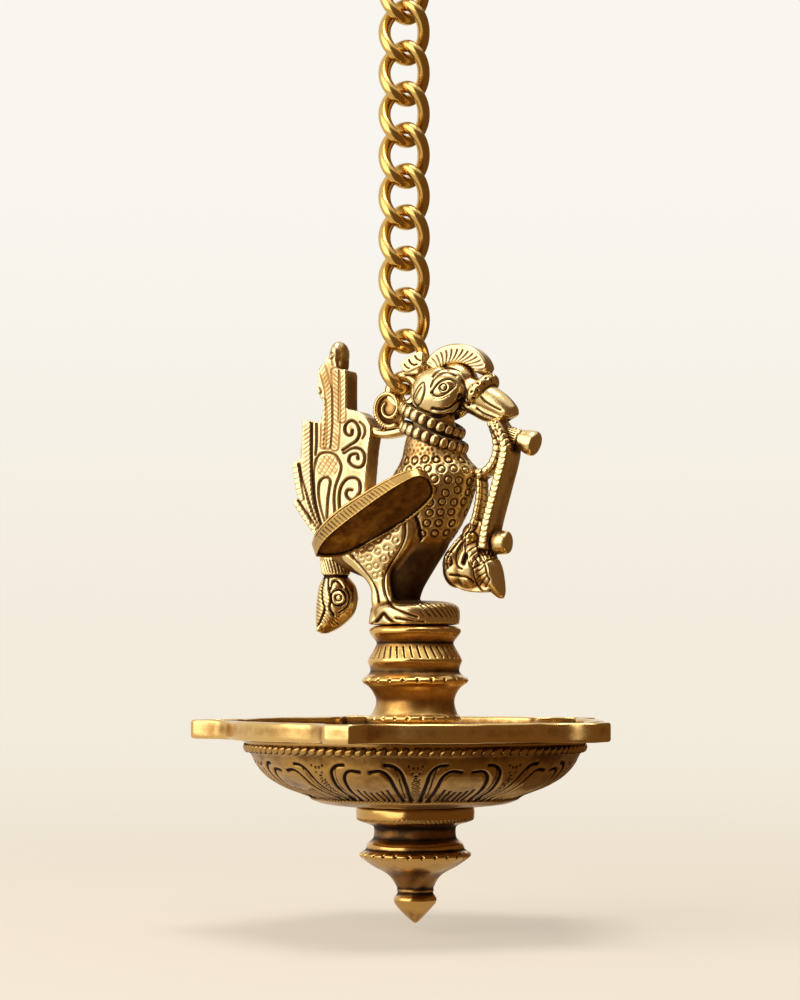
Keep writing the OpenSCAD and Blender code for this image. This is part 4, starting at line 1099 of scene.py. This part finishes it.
# ---- Tail bud
# The bud that hangs from the rump and bends back at its tip: a hatched collar over a fruit with a leaf and a rosette.
# It is cast solid and let into the underside of the rump.

bud_rows = [(28.7, -33.8, 1.4, 1.4), (31, -32, 4.4, 3.6), (35, -29.8, 6.6, 5.7), (40, -28.8, 7.1, 6.4),
            (44.5, -28.8, 6.4, 6), (47.6, -29.3, 4.6, 4.4), (49, -29.4, 4.9, 4.7), (54, -29.7, 5.2, 5),
            (57.8, -29.9, 5, 5)]
bud_leaf = flowing([(-30.6, 47.4), (-33, 43), (-33.6, 38), (-33, 33.4), (-34.6, 29.4)], 10)
tail_bud = cast("tail_bud_brass", [lofted(bud_rows), swept(bud_leaf, 2.4, 8.4)] + [
    ball((-25.8, side * 4.2, 40.6), (2.7, 2.2, 2.7)) for side in (-1, 1)], 0.26, 3, lamp)
bud_lines = [
    ([(-30.2, 47.4), (-31.2, 43.5), (-31, 39.6), (-30.2, 36.4), (-31.4, 33), (-32.6, 30.4)], 0.42, 0.6),
    ([(-29, 47), (-28.8, 43.4), (-28, 40), (-28.4, 37), (-27, 34.4)], 0.42, 0.6),
    ([(-28.2, 43.4), (-27.4, 45.8), (-25.6, 46), (-24, 44)], 0.45, 0.6),
    ([(-22.6, 43.6), (-21.6, 41), (-22.4, 37.6), (-25, 35.4)], 0.4, 0.5)]


def bud_cuts(p, n):
    flat, facing = as_seen(p, n)
    seen = rise(facing, 0.05, 0.3)
    a = np.arctan2(p[:, 1], p[:, 0] + 29.6)
    cut = 0.45 * stroke(a, 26, 0.1, 0.06 * p[:, 2]) * between(p[:, 2], 48.8, 53.6)
    cut += groove(p[:, 2] - 47.9, 0.45, 0.5) + seen * lines_cut(flat, bud_lines)
    knot = np.hypot(flat[:, 0] + 25.4, flat[:, 1] - 40.4)
    cut += seen * (ringed(knot, 1.2, 0.5) + ringed(knot, 2.7, 0.6))
    barbs = (flat[:, 1] + 0.8 * flat[:, 0]) % 1.3 - 0.65
    leaf = between(flat[:, 0], -33, -28.6, 0.4) * between(flat[:, 1], 31.5, 46)
    leaf += between(flat[:, 0], -29, -25, 0.4) * between(flat[:, 1], 31, 36)
    return cut + seen * leaf * groove(barbs, 0.24, 0.25)


engraved(tail_bud, bud_cuts)
finish(tail_bud, bird_brass, "lamp", "cast_brass", "tail_bud")

# ---- Beak garland
# The flower garland in the bird's beak: a flat strut with roped edges, two buds and a knob, a ringed vine that
# touches the breast, and a leafy curl at its foot. It is one open casting, held in the beak.

strut = flowing([(30.4, 97.4), (33.4, 92), (34.2, 87), (31.2, 76), (27.8, 64), (26.6, 56)], 10)
vine = flowing([(28.6, 98), (30.6, 92.4), (30.6, 87.2), (28.4, 83), (25.2, 81), (23.6, 81.4)], 10)
breast_vine = flowing([(23.8, 82.6), (24.4, 77), (23.8, 71), (22.2, 65), (19, 59.6), (15.4, 55)], 10)
ropes = ((strut, 1.7, 1.9, 0.5, 0), (vine, 2.0, 2.1, 0.0, 0.8), (breast_vine, 1.8, 2.1, 0.0, 0.8))
bud_wide = 4.8


def bud_form(at, lean, l, outline):
    """Turned bud that leans forward from the upright, its outline given in shares of its width and length."""
    points, faces = turned(softened([(0, 0)] + [(r * bud_wide, z * l) for r, z in outline], 2), 64)
    return turn_about(points, (0, 1, 0), lean) + (at[0], 0, at[1]), faces


point_tip = [(0.8, 0), (1, 0.25), (0.92, 0.5), (0.38, 0.92), (0, 1)]
bell_tip = [(0.64, 0), (0.62, 0.3), (0.72, 0.55), (0.9, 0.8), (0.88, 0.92), (0.6, 1), (0, 1)]
knob_tip = [(0.62, 0), (0.78, 0.3), (0.84, 0.55), (0.82, 0.85), (0.68, 0.98), (0, 1)]
buds = (((32.4, 94), 110, 12.6, bell_tip, (0.8, 5.2)), ((25.4, 58.4), 92, 9, knob_tip, (0.4, 3)),
        ((23.8, 54.6), 152, 17, point_tip, (0.5, 3.6)))
leaf_edge = [(21.4, 65.1), (24.7, 65.1), (26.5, 59.4), (28, 53.4), (27.2, 50.6), (28.4, 46), (28, 43), (25.1, 41.8),
             (18.4, 42.6), (14.6, 45), (11.2, 49.9), (11.7, 54), (14.5, 57.7), (18.1, 61.4), (21.4, 65.1)]
garland = cast("beak_garland_brass", [
    swept(strut, 4.2, 12.0, 0.4), swept(vine, 3.6, 8.6, 0.7), swept(breast_vine, 3.0, 7.4, 0.8),
    *(bud_form(*bud[:4]) for bud in buds), slab(spaced(flowing(leaf_edge), 0.6), 2.8),
    ball((20.6, 0, 51), (6.4, 5.8, 9)), ball((15.4, 0, 49.4), (5, 4.6, 6)), ball((14, 0, 53), (2.8, 5.2, 3.4)),
    ball((20.6, 0, 60), (3.2, 4.8, 5))], 0.3, 4, lamp)
leaf_eye = [(16.7, 54.6), (16.2, 53.2), (15.8, 52)]
leaf_strips = [
    ([(17.4, 64), (14, 60.6), (11.2, 57.2), (9.4, 53.6)], 0.9, 1.5, 0.4),
    ([(18.6, 60.4), (18.6, 57), (19.6, 53.6), (21.3, 50.4), (22, 47), (23.6, 44.4)], 1.9, 1.9, 0.4)]
leaf_lines = [
    ([(10.6, 50.6), (10.2, 52.4), (10.8, 54.2), (12, 54), (12.1, 52), (11.4, 51.2)], 0.34, 0.45),
    ([(16.4, 59.6), (14.3, 56.6), (13.4, 53.6), (13.8, 51), (15.4, 50)], 0.34, 0.4),
    ([(11.6, 48), (14.6, 47.6), (17.4, 47), (19.4, 45.6)], 0.4, 0.5), (leaf_eye, 0.7, 1.1)]


def garland_cuts(p, n):
    flat = p[:, [0, 2]]
    face = rise(np.abs(n[:, 1]), 0.15, 0.3)
    cut = np.zeros(len(p))
    for line, width, pitch, lean, all_round in ropes:
        gap, run = gap_to(flat, line)
        strip = np.where(flat[:, 1] > 61, 1.0, line is strut)
        twist = groove(off_mark(run + lean * gap, pitch), 0.24, 0.27)
        cut += strip * twist * (gap < width) * np.maximum(face, all_round)
        cut += strip * face * groove(gap - width, 0.28, 0.35) * (gap < width + 1)
    for at, lean, _, _, rows in buds:
        q = turn_about(p - (at[0], 0, at[1]), (0, 1, 0), -lean)
        r, up = np.hypot(q[:, 0], q[:, 1]), q[:, 2]
        a = np.arctan2(q[:, 1], q[:, 0])
        on_bud = (r > 2.6) & (r < 6) & (up > 0)
        cut += on_bud * (0.4 * stroke(a, 22, 0.12) * between(up, *rows, 0.5) + groove(up - rows[1] - 0.5, 0.34, 0.3))
    shown, facing = as_seen(p, n)
    seen = rise(facing, 0.1, 0.3) * (shown[:, 0] < 25) * (shown[:, 1] < 65)
    return cut + seen * (lines_cut(shown, leaf_lines) + sum(laddered(shown, *strip, 0.3) for strip in leaf_strips))


engraved(garland, garland_cuts, lambda p, n: 0.35 * (p[:, 2] < 64))
finish(garland, bird_brass, "lamp", "cast_brass", "beak_garland")

# ---- Floor, light and camera
# A pale sweep of paper under and behind the lamp, one large soft light from the left front and a weak one from
# above. A glowing brown screen lies on the paper and stands to the right and behind: only the gloss of the brass shows
# it, as a painted dark reflection.

scene = bpy.context.scene
scene.view_settings.view_transform = "Standard"
paper_high, paper_far, paper_near = (0.945, 0.92, 0.865), (0.895, 0.83, 0.715), (0.87, 0.765, 0.62)
rim_level, distance, frame_h, view_left, sensor = rim_z / 1000, view_far / 1000, 0.3333, 0.005, 36
eye_level, aim_level, lit_level = rim_level + view_level / 1000, rim_level + 0.073, rim_level + 0.05
floor_z, floor_half = rim_level - 0.07, 9
toward = np.array([math.sin(quarter), -math.cos(quarter), 0])
right = np.array([math.cos(quarter), math.sin(quarter), 0])
middle = np.array([axis_x / 1000, 0, 0])


def stage_piece(name, points, faces, material):
    """Sheet of the studio, with points in metres."""
    mesh = bpy.data.meshes.new(name)
    mesh.from_pydata([tuple(p) for p in points], [], faces)
    mesh.materials.append(material)
    staged = placed(name, mesh)
    return staged


def shown_rays(flow):
    """1 for rays that show the paper itself: from the camera, in gloss and through clear things."""
    camera_ray, gloss_ray, clear_ray = (
        flow.node("ShaderNodeLightPath", out=f"Is {kind} Ray") for kind in ("Camera", "Glossy", "Transmission"))
    return flow.math("MAXIMUM", camera_ray, flow.math("MAXIMUM", gloss_ray, clear_ray))


floor_paper = bpy.data.materials.new("floor_paper")
flow = blank(floor_paper)
away = flow.node("ShaderNodeVectorMath", {"operation": "DISTANCE"}, {
    0: flow.node("ShaderNodeTexCoord", out="Object"), 1: (*middle[:2], floor_z)}, 1)
near = distance / (away + distance)
tone = near.ease(0.15, 1.05).mix(paper_far, paper_near)
matt = flow.node("ShaderNodeBsdfDiffuse", inputs={"Color": tone})
glow = flow.node("ShaderNodeEmission", inputs={"Color": tone, "Strength": 1.0})
kept_shadow = shown_rays(flow) * (1 - 0.42 * near.ease(0.45, 0.9))
flow.node("ShaderNodeOutputMaterial", inputs={"Surface": flow.node(
    "ShaderNodeMixShader", inputs={0: kept_shadow, 1: matt, 2: glow})})
corners = [(x * floor_half, y * floor_half, floor_z) for x, y in ((-1, -1), (1, -1), (1, 1), (-1, 1))]
stage_piece("floor", corners, [(0, 1, 2, 3)], floor_paper)

world = bpy.data.worlds.new("studio")
scene.world = world
flow = blank(world)
upward = flow.node("ShaderNodeSeparateXYZ", inputs={0: flow.node("ShaderNodeTexCoord", out="Generated")}, out=2)
sweep = flow.node("ShaderNodeBackground", inputs={
    "Color": upward.ease(-0.02, 0.2).mix(paper_far, paper_high), "Strength": 1.0})
lit = flow.node("ShaderNodeBackground", inputs={"Color": (1, 0.97, 0.92, 1), "Strength": 0.35})
flow.node("ShaderNodeOutputWorld", inputs={"Surface": flow.node(
    "ShaderNodeMixShader", inputs={0: shown_rays(flow), 1: lit, 2: sweep})})

# The screen glows a dim brown of its own and only the brass's gloss sees it: a painted dark reflection of the room
# round the lamp.
painted_reflection_sheet = bpy.data.materials.new("painted_reflection_sheet")
flow = blank(painted_reflection_sheet)
flow.node("ShaderNodeOutputMaterial", inputs={"Surface": flow.node(
    "ShaderNodeEmission", inputs={"Color": (0.18, 0.098, 0.038, 1), "Strength": 1.0})})
turns = quarter + np.radians(np.linspace(-24, 158, 40))
screen_foot, screen_top, screen_in, screen_far = floor_z + 0.004, floor_z + 1.3, 0.05, 1.25
screen_points = [middle + (r * math.sin(t), -r * math.cos(t), z) for r, z in (
    (screen_in, screen_foot), (screen_far, screen_foot), (screen_far, screen_top)) for t in turns]
screen_faces = [(k, k + 1, k + 41, k + 40) for k in range(79) if k != 39]
screen = stage_piece("screen", screen_points, screen_faces, painted_reflection_sheet)
screen.visible_camera = screen.visible_diffuse = screen.visible_shadow = screen.visible_transmission = False


def soft_lamp(name, azimuth, height, away, width, tall, watts):
    """Area light that looks at the brass from an azimuth, counted from the camera's own."""
    light = bpy.data.lights.new(name, "AREA")
    light.shape, light.size, light.size_y, light.energy = "RECTANGLE", width, tall, watts
    stand = placed(name, light)
    t = quarter + math.radians(azimuth)
    target = middle + (0, 0, lit_level)
    stand.location = target + (away * math.sin(t), -away * math.cos(t), height)
    x, y, z = target - np.array(stand.location)
    stand.rotation_euler = (math.atan2(math.hypot(x, y), -z), 0, math.atan2(y, x) - math.pi / 2)


soft_lamp("key", -55, 0.35, 1.1, 1.5, 1.5, 14)
soft_lamp("top", 0, 1.2, 0.12, 0.6, 0.6, 9)

camera = bpy.data.cameras.new("camera")
camera.sensor_fit, camera.sensor_height, camera.clip_start = "VERTICAL", sensor, 0.01
camera.lens = sensor * math.hypot(distance, aim_level - eye_level) / frame_h
scene.camera = placed("camera", camera)
scene.camera.location = middle - view_left * right + distance * toward + (0, 0, eye_level)
scene.camera.rotation_euler = (math.pi / 2 + math.atan2(aim_level - eye_level, distance), 0, quarter)
